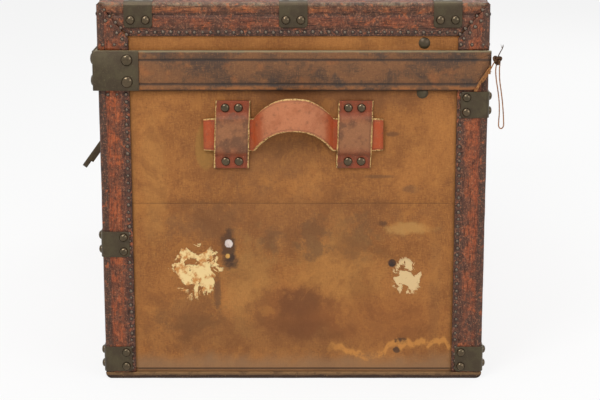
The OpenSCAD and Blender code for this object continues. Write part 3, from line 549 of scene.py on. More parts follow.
# %% Cloth of the used end
def used_end_cloth():
    material, place = start_material("canvas_used_end")
    colour, thread, fine = cloth_colour(place)
    _, y, z = axes(place)
    wander = spots(place, 60, 6, 0.72) * 2.4 - 1.2
    for row in END_MARKS:
        colour = mix(mark(y, z, wander, row), colour, tone(*row[-1]))
    soil = spots(place, 15, 6, 0.72, 0.6)
    colour = painted(
        colour,
        (soil, 0.50, 0.60, 0.35, (112, 68, 36)),
        (soil, 0.45, 0.36, 0.30, (190, 126, 62)))
    seam = edge(abs(z - LAP + (spots(place, 11, 2) - 0.5) * 0.002), 1.1 * MM, 0.4 * MM)
    seam = seam * edge(wander, -0.5, 0.3)
    colour = mix(seam * 0.4, colour, tone(84, 58, 38))
    hem = edge(z + (spots(place, 30, 4) - 0.5) * 0.03, 0.040, 0.016)
    colour = mix(hem * 0.75, colour, tone(146, 112, 80))
    stitched = edge(abs(z - 0.0125), 1.4 * MM, 0.5 * MM)
    colour = mix(stitched * 0.8, colour, tone(48, 38, 32))
    # Painted shadow under the band: the canvas turns dark brown from 5 mm below the band's lower
    # edge upwards.
    colour = mix(edge(z, BAND_LOW - 5 * MM, BAND_LOW + 1 * MM) * 0.75, colour, tone(52, 34, 24))
    # Painted shade: a 7 mm strip of canvas beside each leather upright is darkened.
    shade_beside_leather = edge(abs(y) + (wander - 0.5) * 0.002, SIDE - 47 * MM, SIDE - 40 * MM)
    colour = mix(shade_beside_leather * 0.5, colour, tone(112, 76, 38))
    tide_z = 0.041 + (spots(stretched(place, 1, 1, 0.2), 26, 3, 0.6) - 0.5) * 0.075
    tide = edge(abs(z - tide_z) + wander * 0.003, 7 * MM, 3 * MM) * edge(y, 0.03, 0.07)
    colour = mix(tide * edge(wander, -0.3, 0.1) * 0.7, colour, tone(204, 140, 70))
    pale = flakes(place, y, z, wander * 0.3, (-128, 148), (40, 42), 36, 0.63)
    core = edge(spots(place, 95, 5, 0.7), 0.46, 0.6)
    flaked = mix(core * 0.85, tone(236, 206, 146), tone(196, 120, 50))
    colour = mix(pale, colour, flaked)
    rubbed = flakes(place, y, z, wander * 0.3, (150, 140), (24, 28), 70, 0.63)
    colour = mix(rubbed * 0.85, colour, tone(228, 198, 146))
    height = thread * 0.5 + fine + pale * -1.4 - seam * 0.8
    return end_material(material, colour, 0.6 + fine * 0.2, height, 0.35 * MM)


canvas_used_end = used_end_cloth()
print("used end painted as", canvas_used_end.name)

# %% [markdown]
# ## Binding leather
# Thick harness leather, pressed with lines, gone dark where dirt gathers along the
# edges and rubbed back to orange in the middle. The colour follows the distance
# across the strip, which each strip carries as its own coordinates, and the cracks
# run along it.

# %% Binding leather
def strip_leather(name, stops, worn, dirt):
    """Leather whose colour is set by stops across the strip, in mm from its folded edge."""
    material, place = start_material(name)
    lay = Wire.node("ShaderNodeUVMap", {}, uv_map="lay")
    across, along, _ = axes(lay)
    streak = spots(Wire.node("ShaderNodeCombineXYZ", {0: across * 420, 1: along * 26}), 1, 5, 0.68)
    crack = spots(Wire.node("ShaderNodeCombineXYZ", {0: across * 800, 1: along * 55}), 1, 3, 0.6)
    cloud, mottle = spots(place, 34, 5, 0.68, 0.3), spots(place, 110, 5, 0.72, 0.4)
    speck, fine = spots(place, 240, 4, 0.75), spots(place, 420, 3, 0.75)
    _, y, z = axes(place)
    # Darker towards the bottom, towards the +y side and on the lid's upper part.
    darker_by_place = edge(z, 0.24, 0.04) * 0.22 + edge(y, 0.14, 0.22) * 0.2 + edge(z, 0.43, 0.46) * 0.3
    moved = across / MM + (streak - 0.5) * 6 + (mottle - 0.5) * 6
    width = stops[-1][0]
    colour = Wire.node("ShaderNodeValToRGB", {0: moved / width},
                       stops=[(s / width, tone(*c)) for s, c in stops])
    colour = mix(edge(cloud, 0.47, 0.60) * 0.6 + darker_by_place, colour, tone(*dirt))
    colour = painted(
        colour,
        (mottle, 0.48, 0.58, 0.6, (84, 48, 34)),
        (mottle, 0.44, 0.36, 0.6, worn),
        (streak, 0.52, 0.64, 0.55, dirt),
        (speck, 0.52, 0.60, 0.5, (58, 36, 28)),
        (speck, 0.44, 0.36, 0.4, (178, 112, 80)),
        (crack, 0.56, 0.64, 0.65, (46, 30, 24)),
        (fine, 0.55, 0.68, 0.5, (196, 140, 104)))
    height = streak * 0.7 + fine * 0.5 + mottle * 0.5 - edge(crack, 0.56, 0.64) * 0.8
    return end_material(material, colour, 0.34 + fine * 0.26 + cloud * 0.14, height, 0.5 * MM,
                        shine=0.3)


UPRIGHT_TONES = [(0, (100, 44, 32)), (2, (76, 58, 48)), (8.5, (72, 54, 44)), (10, (116, 58, 36)),
                 (12, (166, 82, 44)), (24, (168, 86, 46)), (28, (124, 68, 44)), (31, (90, 58, 46)),
                 (37, (98, 62, 48)), (40, (38, 32, 34))]
upright_leather = strip_leather("binding_leather_upright", UPRIGHT_TONES, (184, 96, 52),
                                (84, 60, 48))
# The pale first stops along the fold are partly worn leather and partly a painted highlight on the
# rounded top edge.
RIM_TONES = [(0, (140, 130, 104)), (4, (124, 96, 70)), (8, (172, 100, 52)), (12, (150, 80, 44)),
             (14, (62, 42, 34)), (17, (80, 48, 36)), (20, (126, 64, 40)), (28, (142, 74, 44)),
             (33, (84, 54, 42)), (39, (78, 54, 46)), (43, (38, 30, 30))]
rim_leather = strip_leather("binding_leather_rim", RIM_TONES, (186, 98, 50), (86, 60, 46))


print("leather for uprights and rims")

# %% [markdown]
# The foot binding is too narrow for stops across it. It is tan along its fold and dark
# where it meets the ground, so its colour follows the height alone.

# %% Foot leather
def foot_strip():
    """The foot binding: tan along its fold, dark where it meets the ground."""
    material, place = start_material("binding_leather_foot")
    x, y, z = axes(place)
    streak = spots(stretched(place, 40, 40, 420), 1, 4, 0.65)
    cloud, fine = spots(place, 60, 4, 0.65), spots(place, 420, 3, 0.7)
    rise = z / MM + (streak - 0.5) * 3 + (cloud - 0.5) * 3
    colour = mix(edge(rise, 3.6, 5.4), tone(56, 40, 32), tone(122, 92, 62))
    colour = painted(
        colour,
        (rise, 6.4, 7.6, 0.6, (158, 120, 78)),
        (cloud, 0.5, 0.66, 0.6, (70, 50, 38)),
        (fine, 0.58, 0.72, 0.4, (188, 146, 100)))
    return end_material(material, colour, 0.6 + fine * 0.2, streak * 0.6 + fine * 0.5, 0.4 * MM)


foot_leather = foot_strip()
print("foot leather ready")

# %% [markdown]
# ## Handle leather
# The handle is belt leather: smooth and pinkish where hands have rubbed it, redder
# where it was covered, with pale raw edges where the cut shows. A strip's across
# coordinate runs from minus half its width to plus half, so its size tells how near
# the raw edge a point is.

# %% Handle leather
STRAP_H, LOOP_W = 43 * MM, 45 * MM


def belt_leather(name, half_width, length, grip, covered, stain, stained):
    """Belt leather: grip and covered are colours in the middle and towards the ends."""
    material, place = start_material(name)
    lay = Wire.node("ShaderNodeUVMap", {}, uv_map="lay")
    across, along, _ = axes(lay)
    cloud, mottle = spots(place, 42, 5, 0.66), spots(place, 130, 4, 0.7)
    fine = spots(place, 520, 3, 0.75)
    ragged = (spots(place, 240, 4, 0.7) - 0.5) * 3.2 * MM
    middle = edge(abs(along) + (cloud - 0.5) * 0.02, length[1], length[0])
    colour = mix(middle, tone(*covered), tone(*grip))
    colour = painted(
        colour,
        (cloud, 0.46, 0.62, stained, stain),
        (mottle, 0.54, 0.66, 0.4, (86, 50, 36)),
        (fine, 0.56, 0.7, 0.35, (206, 142, 104)),
        (fine, 0.44, 0.32, 0.3, (96, 56, 38)))
    raw = edge(abs(across) + ragged, half_width - 1.9 * MM, half_width - 1.1 * MM)
    fray = mix(edge(spots(place, 330, 3, 0.7), 0.46, 0.6), tone(222, 186, 120), tone(120, 84, 44))
    colour = mix(raw * 0.9, colour, fray)
    line = edge(abs(abs(across) + ragged * 0.3 - half_width + 3.4 * MM), 0.7 * MM, 0.2 * MM)
    colour = mix(line * 0.35, colour, tone(90, 54, 38))
    height = fine * 0.5 + cloud * 0.4 + raw * spots(place, 900, 2) * 1.6 - line * 0.8
    return end_material(material, colour, 0.4 + fine * 0.2 + raw * 0.3, height, 0.4 * MM, shine=0.3)


strap_leather = belt_leather("handle_leather_strap", STRAP_H / 2, (34 * MM, 46 * MM),
                             (188, 118, 80), (172, 76, 36), (160, 88, 54), 0.5)
loop_leather = belt_leather("handle_leather_loop", LOOP_W / 2, (10 * MM, 34 * MM),
                            (148, 98, 64), (136, 62, 34), (96, 66, 46), 0.75)
print("handle leather ready")

# %% [markdown]
# ## Band cloth
# The band round the lid is a batten under waxed cloth, dark with handling. Two pressed
# lines follow its edges. Blue-grey bruises and tan rubs lie over a brown ground. The
# top edge is a painted highlight, and the lowest edge a painted shadow.

# %% Band cloth
def waxed_band():
    material, place = start_material("band_cloth")
    lay = Wire.node("ShaderNodeUVMap", {}, uv_map="lay")
    across, along, _ = axes(lay)
    rise = across / MM
    thread, fine = weave(place, 1.1 * MM), slubs(place)
    cloud = spots(stretched(place, 16, 16, 26), 1, 5, 0.66, 0.5)
    blot = spots(place, 30, 5, 0.65)
    grain = spots(place, 380, 3, 0.75)
    colour = mix(edge(cloud, 0.40, 0.64), tone(124, 84, 54), tone(80, 60, 47))
    colour = painted(
        colour,
        (blot, 0.52, 0.66, 0.75, (66, 56, 50)),
        (blot, 0.44, 0.30, 0.7, (150, 94, 54)),
        (fine, 0.50, 0.64, 0.30, (168, 118, 74)),
        (grain, 0.53, 0.66, 0.35, (52, 40, 34)))
    wander = (spots(place, 60, 4, 0.7) - 0.5) * 5
    low_rub = edge(rise + wander, 6.5, 3) * edge(spots(place, 45, 4, 0.7), 0.40, 0.56)
    colour = mix(low_rub * 0.7, colour, tone(160, 100, 54))
    for at in (8.3, 39.4):
        line = edge(abs(rise + wander * 0.25 - at), 2.6, 0.6)
        colour = mix(line * 0.72, colour, tone(44, 40, 38))
    # Painted shadow: the lowest 1.6 mm of the band is made nearly black.
    colour = mix(edge(rise + wander * 0.1, 1.6, 0.7) * 0.85, colour, tone(34, 24, 20))
    # Painted highlight: the top 2 mm of the band turn pale grey.
    pale = edge(rise + wander * 0.3, 48.4, 50.4)
    colour = mix(pale * 0.7, colour, tone(146, 136, 104))
    y = axes(place)[1]
    torn_rim = (y - TEAR_Y) * (TEAR_RISE / (SIDE - TEAR_Y)) * (1 / MM)
    torn = edge(rise - torn_rim + wander * 0.3, 5.0, 2.4) * edge(y, TEAR_Y - 4 * MM, TEAR_Y)
    colour = mix(torn * 0.85, colour, tone(190, 138, 80))
    height = thread * 0.35 + fine * 0.6 + cloud
    return end_material(material, colour, 0.55 + fine * 0.2 - pale * 0.15, height, 0.35 * MM)


band_cloth = waxed_band()
print("band cloth ready")

# %% [markdown]
# ## Metal, brass and nail heads
# The fittings are iron that was once brassed: nearly black-brown with an olive bloom,
# brighter where it stands proud. Old metal like this is more dirt than mirror, so
# the metallic share stays low and the roughness varies.

# %% Metals
def old_metal(name, ground, bloom, bright, polish, metallic, depth):
    material, place = start_material(name)
    cloud, fine = spots(place, 55, 5, 0.65), spots(place, 600, 3, 0.7)
    dent = spots(place, 90, 2)
    colour = mix(edge(cloud, 0.42, 0.62), tone(*ground), tone(*bloom))
    colour = painted(
        colour,
        (fine, 0.56, 0.72, 0.35, bright),
        (spots(place, 150, 4, 0.7), 0.58, 0.7, 0.5, (54, 42, 32)))
    roughness = polish + cloud * 0.12 + fine * 0.08
    return end_material(material, colour, roughness, dent + fine * 0.15, depth, metallic, 0.5)


dark_metal = old_metal("patinated_metal", (70, 58, 42), (78, 68, 48), (122, 108, 80), 0.30, 0.6,
                       0.12 * MM)
rivet_metal = old_metal("rivet_metal", (92, 78, 60), (80, 70, 54), (136, 120, 96), 0.10, 0.9,
                        0.05 * MM)
brass = old_metal("brass", (150, 120, 66), (124, 104, 64), (206, 178, 112), 0.25, 0.85, 0.1 * MM)


def nail_metal():
    """Nail heads: dark round the rim, partly dirt and partly painted shade where the head sinks in,
    rubbed bright on the crown.
    """
    material, place = start_material("nail_metal")
    crown = Wire.node("ShaderNodeAttribute", {}, out="Fac", attribute_name="crown")
    fine = spots(place, 500, 3)
    # Darker towards the rim: partly dirt, partly painted shade.
    shown = edge(crown + (fine - 0.5) * 0.4, 0.45, 0.95)
    colour = mix(shown, tone(30, 24, 22), tone(112, 96, 82))
    return end_material(material, colour, 0.32 + fine * 0.1, fine, 0.05 * MM, 0.75, 0.5)


nail_dark = nail_metal()
print("metals ready")

# %% [markdown]
# ## Wood, paper, tape and twine
# The parts that show when the lid is up: pale pine with its grain along the boards,
# a printed lining paper with a plain stripe, woven tape, and the twine's fibres.

# %% Inside finishes
def pine_wood():
    material, place = start_material("pine")
    ring = spots(stretched(place, 3, 26, 40), 1, 3, 0.6, 0.8)
    grain = spots(stretched(place, 14, 420, 420), 1, 3, 0.6)
    bands = (ring * 26).maths("SINE") * 0.5 + 0.5
    colour = mix(bands, tone(196, 158, 104), tone(160, 118, 70))
    colour = mix(edge(grain, 0.5, 0.7) * 0.5, colour, tone(132, 96, 60))
    return end_material(material, colour, 0.55 + grain * 0.2, bands * 0.3 + grain, 0.3 * MM)


def stripe_paper():
    material, place = start_material("lining_paper")
    x, y, z = axes(place)
    cloud, fine = spots(place, 9, 5, 0.6), spots(place, 700, 3, 0.7)
    waves = ((x + y) * (2 * math.pi / 0.024)).maths("SINE")
    thin = edge(abs(((x + y) * (2 * math.pi / 0.012)).maths("SINE")), 0.9, 1.0)
    colour = mix(edge(waves, -0.2, 0.2) * 0.35, tone(206, 196, 168), tone(168, 164, 148))
    colour = mix(thin * 0.4, colour, tone(120, 92, 74))
    colour = painted(
        colour,
        (cloud, 0.52, 0.72, 0.55, (164, 134, 92)),
        (fine, 0.6, 0.75, 0.25, (232, 224, 200)))
    return end_material(material, colour, 0.75 + fine * 0.1, fine + cloud * 0.5, 0.25 * MM)


def woven_tape():
    material, place = start_material("tape")
    thread, fine = weave(place, 1.0 * MM), slubs(place)
    colour = mix(edge(fine, 0.4, 0.6), tone(150, 128, 92), tone(188, 166, 124))
    colour = mix(edge(spots(place, 40, 4), 0.52, 0.7) * 0.5, colour, tone(112, 92, 64))
    return end_material(material, colour, 0.8, thread + fine, 0.4 * MM)


def twine_fibre(name, dark, light, fuzz_colour):
    material, place = start_material(name)
    lay = Wire.node("ShaderNodeUVMap", {}, uv_map="lay")
    around, run, _ = axes(lay)
    twist = Wire.node("ShaderNodeCombineXYZ", {0: (around + run) * 14, 1: run * 3})
    fibre = spots(twist, 1, 4, 0.7)
    fuzz, cloud = spots(place, 900, 2), spots(place, 160, 3)
    colour = mix(edge(fibre, 0.38, 0.62), tone(*dark), tone(*light))
    colour = painted(
        colour,
        (cloud, 0.52, 0.62, 0.6, dark),
        (fuzz, 0.58, 0.7, 0.5, fuzz_colour))
    return end_material(material, colour, 0.8, fibre + fuzz * 0.4, 0.3 * MM)


pine, lining_paper, tape = pine_wood(), stripe_paper(), woven_tape()
twine_finish = twine_fibre("twine", (112, 68, 38), (180, 122, 70), (206, 164, 110))
# The knot's twine is coloured much darker than the rest.
dark_knot_twine = twine_fibre("twine_tarred", (26, 20, 16), (96, 62, 34), (190, 140, 84))
print("inside finishes ready")

# %% [markdown]
# ## Handing a piece over
# Each finished piece gets its material and the body it moves with, and the plain
# solids of the frame that it stands for are hidden.

# %% Hand over
def hand_over(piece, body, slot, material, *stands_for):
    piece.data.materials.clear()
    piece.data.materials.append(material)
    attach(piece, body)
    if stands_for:
        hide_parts(*stands_for)
    return piece


hand_over(twine_piece, "lid", "twine", twine_finish, "twine")
hand_over(knot_piece, "lid", "twine", dark_knot_twine, "twine_knot")

# %% [markdown]
# ## Canvas panels
# Each panel is a sheet glued to its board. A flat box would show its machine edges,
# so each panel is a grid that dips a little where the glue has let go. The dips
# only go inwards, so that the handle strap, which slides close above, stays free.
# The end panels are made of two lengths of cloth that overlap in a level seam.

# %% Panels
def canvas_panel(name, node, lap=None, pitch=9 * MM):
    """A cloth panel in the box of a frame node, with a shallow, uneven outer face."""
    low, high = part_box(node)
    size = high - low
    thin = min(range(3), key=lambda k: size[k])
    u, v = [k for k in range(3) if k != thin]
    out = 1 if low[thin] + high[thin] > 0 else -1
    face, back = (high, low) if out > 0 else (low, high)
    nu, nv = max(2, round(size[u] / pitch)), max(2, round(size[v] / pitch))
    vs = [low[v] + size[v] * j / nv for j in range(nv + 1)]
    if lap:
        vs = sorted(set(vs + [lap - 0.4 * MM, lap + 0.4 * MM]))
    points, index = [], {}
    for layer in (0, 1):
        for j, b in enumerate(vs):
            for i in range(nu + 1):
                p = Vector((0, 0, 0))
                p[u], p[v] = low[u] + size[u] * i / nu, b
                p[thin] = back[thin]
                if layer:
                    dip = max(0, rough(*(q + 3.1 for q in p), 0.09)) * 0.7 * MM
                    dip += max(0, rough(*(q + 7.7 for q in p), 0.03)) * 0.25 * MM
                    dip += 0.45 * MM if lap and b < lap else 0
                    p[thin] = face[thin] - out * dip
                index[layer, i, j] = len(points)
                points.append(p)
    nj = len(vs) - 1
    faces = []
    for layer in (0, 1):
        faces += [tuple(index[layer, *c] for c in ((i, j), (i + 1, j), (i + 1, j + 1), (i, j + 1)))
                  for i in range(nu) for j in range(nj)]
    rim = [(i, 0) for i in range(nu)] + [(nu, j) for j in range(nj)]
    rim += [(i, nj) for i in range(nu, 0, -1)] + [(0, j) for j in range(nj, 0, -1)]
    for a, b in zip(rim, rim[1:] + rim[:1]):
        faces.append((index[0, *a], index[0, *b], index[1, *b], index[1, *a]))
    return outward(build(name, points, faces))


for node in ("front_canvas", "rear_canvas", "left_end_canvas", "right_end_canvas"):
    used = node == "right_end_canvas"
    panel = canvas_panel(node + "_cloth", node, lap=LAP if "end" in node else None)
    hand_over(panel, "trunk_body", "canvas", canvas_used_end if used else canvas_plain, node)
for node in ("lid_top_canvas", "lid_front_canvas", "lid_rear_canvas"):
    hand_over(canvas_panel(node + "_cloth", node), "lid", "canvas", canvas_plain, node)
print("seven panels in cloth")

# %% [markdown]
# ## Pieces that come in pairs
# The two lid ends and the underside are also cloth, but one node of the frame holds
# more than a single flat panel there. A copy of the node's own mesh, merged and
# given softly rounded edges, keeps the exact outline. The same helper softens the
# metal fittings, whose real edges are never razor sharp.

# %% Softened copies
def softened(name, node, width, segments=2):
    """A merged copy of a frame node with its sharp edges rounded to width."""
    mesh = merged(node)
    bmesh.ops.dissolve_limit(mesh, angle_limit=math.radians(1), verts=mesh.verts, edges=mesh.edges)
    piece = from_bmesh(name, mesh)
    bevel = piece.modifiers.new("bevel", "BEVEL")
    bevel.width, bevel.segments, bevel.limit_method = width, segments, "ANGLE"
    bevel.angle_limit, bevel.use_clamp_overlap, bevel.harden_normals = math.radians(35), True, True
    return piece


for node in ("lid_end_canvases", "bottom_canvas"):
    body = "lid" if node.startswith("lid") else "trunk_body"
    hand_over(softened(node + "_cloth", node, 0.3 * MM), body, "canvas", canvas_plain, node)
FITTINGS = {"hinge_body_leaves": "trunk_body", "hinge_lid_leaves": "lid",
            "lock_case": "trunk_body", "hasp_plate": "lid", "clasp_plates": "trunk_body",
            "clasp_catches": "lid", "hasp": "hasp", "clasp_tongues_left": "left_clasp",
            "clasp_tongues_right": "right_clasp", "band_caps": "lid"}
for node, body in FITTINGS.items():
    piece = softened(node + "_soft", node, (1.6 if "tongues" in node else 0.45) * MM)
    hand_over(piece, body, "patinated_metal", dark_metal, node)
print(len(FITTINGS), "fittings softened")

# %% [markdown]
# ## Strips bent round an edge
# Leather bindings and metal clamps are all the same idea: a flat strip bent over one
# edge of the case. One function makes them all. It draws the strip's outline across
# both faces and round the corner, as distances from the edge with a height for each,
# and carries that line along the edge. Its ends can be cut at a mitre, and its
# corners rounded.

# %% Bent strips
def bent_strip(name, corner, face_1, face_2, profile, base, radius, ends, stations,
               shrink=None, wear=0.0, seed=0.0):
    """corner: a point on the edge; face_1 and face_2: the directions the two faces look in.
    profile: (distance from the edge, height) pairs; base: height of the inner side;
    ends(a): where the strip starts and stops along the edge at distance a."""
    axis = Vector(abs(c) for c in face_1.cross(face_2))
    turn = [math.radians(90) * k / 6 for k in range(1, 6)]
    line = [(1, a, h) for a, h in profile] + [(0, t, profile[-1][1]) for t in turn]
    line += [(2, a, h) for a, h in reversed(profile)]

    def place(kind, a, lift):
        if kind == 1:
            return face_1 * lift - face_2 * a
        if kind == 2:
            return face_2 * lift - face_1 * a
        middle = -radius * (face_1 + face_2)
        return middle + (radius + lift) * (math.cos(a) * face_1 + math.sin(a) * face_2)

    rings, lay = [], []
    for t in stations:
        ring = []
        for inner in (False, True):
            for kind, a, lift in (reversed(line) if inner else line):
                pull = shrink(t) if shrink and kind else 1.0
                distance = radius + (a - radius) * pull if kind else a
                start, stop = ends(a if kind else radius * 0.5)
                run = start + (stop - start) * t
                height = base if inner else lift
                point = corner + place(kind, distance, height) + axis * run
                if wear and not inner:
                    worn = max(0, rough(*(point + Vector((seed, 0, 0))), 0.03)) * wear
                    worn += max(0, rough(*(point + Vector((0, seed, 5))), 0.009)) * wear * 0.6
                    point -= (face_1 if kind == 1 else face_2 if kind == 2
                              else (face_1 + face_2).normalized()) * worn
                ring.append(point)
                lay.append((a if kind else radius * 0.4, run + seed))
        rings.append(ring)
    return outward(build(name, *skin_rings(rings), lay))


def even(count):
    return [k / count for k in range(count + 1)]


EDGE_R = 5 * MM
UPRIGHT = [(a * MM, h * MM) for a, h in (
    (40, -1.4), (39.3, -0.8), (37.8, -0.65), (33.2, -0.7), (31.8, -1.3), (30.6, -0.5), (29, -0.1),
    (25, 0), (21.4, -0.05), (20.6, -0.6), (19.8, -0.05), (16, 0), (14.0, -0.15), (13.2, -1.0),
    (12.2, -0.25), (10.4, -0.1), (9.6, -0.9), (8.6, -0.1), (5, 0))]
strips = []
for sx, sy in CORNERS:
    corner = Vector((sx * END, sy * SIDE, 0))
    strips.append(bent_strip("upright", corner, Vector((sx, 0, 0)), Vector((0, sy, 0)), UPRIGHT,
                             -SKIN, EDGE_R, lambda a: (leather_low.z, leather_high.z), even(64),
                             wear=0.55 * MM, seed=3.0 * sx + 1.7 * sy))
hand_over(join("upright_bindings", strips), "trunk_body", "binding_leather", upright_leather,
          "corner_bindings")
print("uprights with", len(UPRIGHT), "pressed lines each way")

# %% [markdown]
# ## The lid's leather
# The rim binding runs along all four top edges and is cut at a mitre, so that the
# corner patches can come up between. The patches follow the same mitre, and close
# over the corner in a small dome.

# %% Rim bindings and corner patches
RIM_W = 43 * MM
PATCH_W = 40 * MM
SEAM = 0.3 * MM
RIM = [(a * MM, h * MM) for a, h in (
    (43, -1.6), (42.2, -0.9), (40.6, -0.6), (35.4, -0.65), (34.2, -1.2), (33, -0.4), (31, -0.05),
    (24, 0), (19.4, -0.05), (18, -0.5), (16.6, -1.3), (14.4, -1.3), (13, -0.4), (11.8, 0),
    (8, 0), (5, 0))]
strips = []
for half, face, along_x in ((END, SIDE, True), (SIDE, END, False)):
    for s in (-1, 1):
        out = Vector((0, s, 0)) if along_x else Vector((s, 0, 0))

        def rim_ends(a, half=half):
            cut = max(SKIN, SKIN + (a - SKIN) * (PATCH_W - SKIN) / (RIM_W - SKIN)) + SEAM
            return cut - half, half - cut

        strips.append(bent_strip("rim", out * face + UP * TOP, out, UP, RIM,
                                 -SKIN, EDGE_R, rim_ends, even(110 if along_x else 64),
                                 wear=0.6 * MM, seed=9.0 + s + 4 * along_x))
hand_over(join("rim_bindings", strips), "lid", "binding_leather", rim_leather, "lid_edge_bindings")

PATCH = [(a * MM, h * MM) for a, h in (
    (40, -1.5), (39.2, -0.7), (37.6, -0.4), (32, -0.3), (24, 0), (12, 0), (8.5, 0.1), (5, 0.2))]
patch_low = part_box("lid_front_band")[1].z + SEAM


def patch_ends(a):
    slope = RIM_W / (PATCH_W - SKIN)
    return patch_low, TOP - SKIN * 0.6 - max(0, a - SKIN) * slope - SEAM


strips = []
for sx, sy in CORNERS:
    strips.append(bent_strip("patch", Vector((sx * END, sy * SIDE, 0)), Vector((sx, 0, 0)),
                             Vector((0, sy, 0)), PATCH, -SKIN, EDGE_R, patch_ends, even(14),
                             wear=0.5 * MM, seed=21.0 + sx + 2 * sy))
hand_over(join("corner_patches", strips), "lid", "binding_leather", upright_leather,
          "lid_corner_patches")
print("rim bindings and four patches")

# %% [markdown]
# ## The foot binding
# A narrow leather edge folds from the ends and sides under the case. Its own mesh from
# the frame has long flat faces, so planes cut it into short lengths, and slow noise
# then moves every outer point inwards, because what stands on the ground is worn.

# %% Foot binding
foot_low, foot_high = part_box("bottom_binding")
FOOT_STEP, FOOT_WEAR = 12 * MM, 0.9 * MM


def worn_foot():
    mesh = merged("bottom_binding")
    for k, reach in ((0, END), (1, SIDE)):
        normal = [0, 0, 0]
        normal[k] = 1
        steps = round(2 * reach / FOOT_STEP)
        for i in range(1, steps):
            spot = [0, 0, 0]
            spot[k] = -reach + 2 * reach * i / steps
            everything = mesh.verts[:] + mesh.edges[:] + mesh.faces[:]
            bmesh.ops.bisect_plane(mesh, geom=everything, plane_co=spot, plane_no=normal, dist=1e-6)
    for vert in mesh.verts:
        x, y, z = vert.co
        worn = max(0, rough(x, y, z, 0.035)) + 0.6 * max(0, rough(x, y, z, 0.012))
        if abs(x) > END - foot_high.z:
            vert.co.x -= sign(x) * worn * FOOT_WEAR
        if abs(y) > SIDE - foot_high.z:
            vert.co.y -= sign(y) * worn * FOOT_WEAR
    piece = from_bmesh("foot_binding", mesh)
    piece.data.set_sharp_from_angle(angle=math.radians(40))
    return piece


hand_over(worn_foot(), "trunk_body", "binding_leather", foot_leather, "bottom_binding")
print("foot binding", round(foot_high.z, 4), "m high")

# %% [markdown]
# ## Clamps
# Each clamp is a strip of sheet metal hammered over an edge, with rounded corners.
# The bent strip does this too: it is pulled in near its ends, so that the outline of
# each face becomes a rounded rectangle.

# %% Clamps
CLAMP_T, CLAMP_CORNER = 1.8 * MM, 4 * MM


def rounded_ends(length, reach):
    """How far the far edges are pulled in, near the ends of a clamp."""
    def pull(t):
        near = min(t, 1 - t) * length
        if near >= CLAMP_CORNER:
            return 1.0
        gap = CLAMP_CORNER - math.sqrt(max(0, CLAMP_CORNER ** 2 - (CLAMP_CORNER - near) ** 2))
        return 1 - gap / (reach - EDGE_R)
    return pull


FINE_ENDS = [0, 0.004, 0.015, 0.035, 0.06, 0.09, 0.12, 0.3, 0.5, 0.7, 0.88, 0.91, 0.94, 0.965,
             0.985, 0.996, 1]
CLAMP_LINE = [(1.0, 0.2), (0.985, 0.75), (0.955, 1.0), (0.7, 1.0), (0.4, 1.0)]


def clamp(corner, face_1, face_2, reach, start, length, seed):
    profile = [(reach * a, CLAMP_T * h) for a, h in CLAMP_LINE] + [(EDGE_R, CLAMP_T)]
    return bent_strip("clamp", corner, face_1, face_2, profile, 0.0, EDGE_R,
                      lambda a: (start, start + length), FINE_ENDS,
                      shrink=rounded_ends(length, reach), wear=0.12 * MM, seed=seed)


print("clamps are", CLAMP_T, "m thick")

# %% [markdown]
# The clamps' places are read from the frame. One node holds many of them, so a walk
# from point to point finds each separate solid, and its box gives the clamp's size.

# %% Finding and making the clamps
def islands(node):
    """Boxes of the separate solids in a frame node."""
    mesh = merged(node)
    seen, boxes = set(), []
    for vert in mesh.verts:
        if vert.index in seen:
            continue
        stack, co = [vert], []
        seen.add(vert.index)
        while stack:
            v = stack.pop()
            co.append(v.co.copy())
            for link in v.link_edges:
                other = link.other_vert(v)
                if other.index not in seen:
                    seen.add(other.index)
                    stack.append(other)
        boxes.append((Vector(min(c[k] for c in co) for k in range(3)),
                      Vector(max(c[k] for c in co) for k in range(3))))
    mesh.free()
    return boxes


pieces = []
for n, (low, high) in enumerate(islands("body_clamps")):
    sx, sy = sign(low.x + high.x), sign(low.y + high.y)
    pieces.append(clamp(Vector((sx * END, sy * SIDE, 0)), Vector((sx, 0, 0)), Vector((0, sy, 0)),
                        high.y - low.y - CLAMP_T, low.z, high.z - low.z, 40.0 + n))
hand_over(join("body_clamps_bent", pieces), "trunk_body", "patinated_metal", dark_metal,
          "body_clamps")
pieces = []
for n, (low, high) in enumerate(islands("lid_clamps")):
    size = high - low
    at_end = min(abs(abs(low.x) - END), abs(abs(high.x) - END)) < 0.003
    out = Vector((sign(low.x + high.x), 0, 0)) if at_end else Vector((0, sign(low.y + high.y), 0))
    along = 1 if at_end else 0
    edge_at = out * (END if at_end else SIDE) + UP * TOP
    pieces.append(clamp(edge_at, out, UP, size.z - CLAMP_T, low[along], size[along],
                        60.0 + n))
hand_over(join("lid_clamps_bent", pieces), "lid", "patinated_metal", dark_metal, "lid_clamps")
print(len(pieces), "lid clamps")

# %% [markdown]
# ## Rivets
# Every clamp is held by two domed rivets on each face. A dome is a few rings that
# close towards its top. Hammering left each one a little uneven, so slow noise moves
# its rings, and no two catch the light alike.

# %% Rivet domes
DOME = [(1.0, 0.0), (1.0, 0.12), (0.96, 0.34), (0.86, 0.58), (0.70, 0.78), (0.48, 0.92),
        (0.24, 0.99), (0.06, 1.0)]


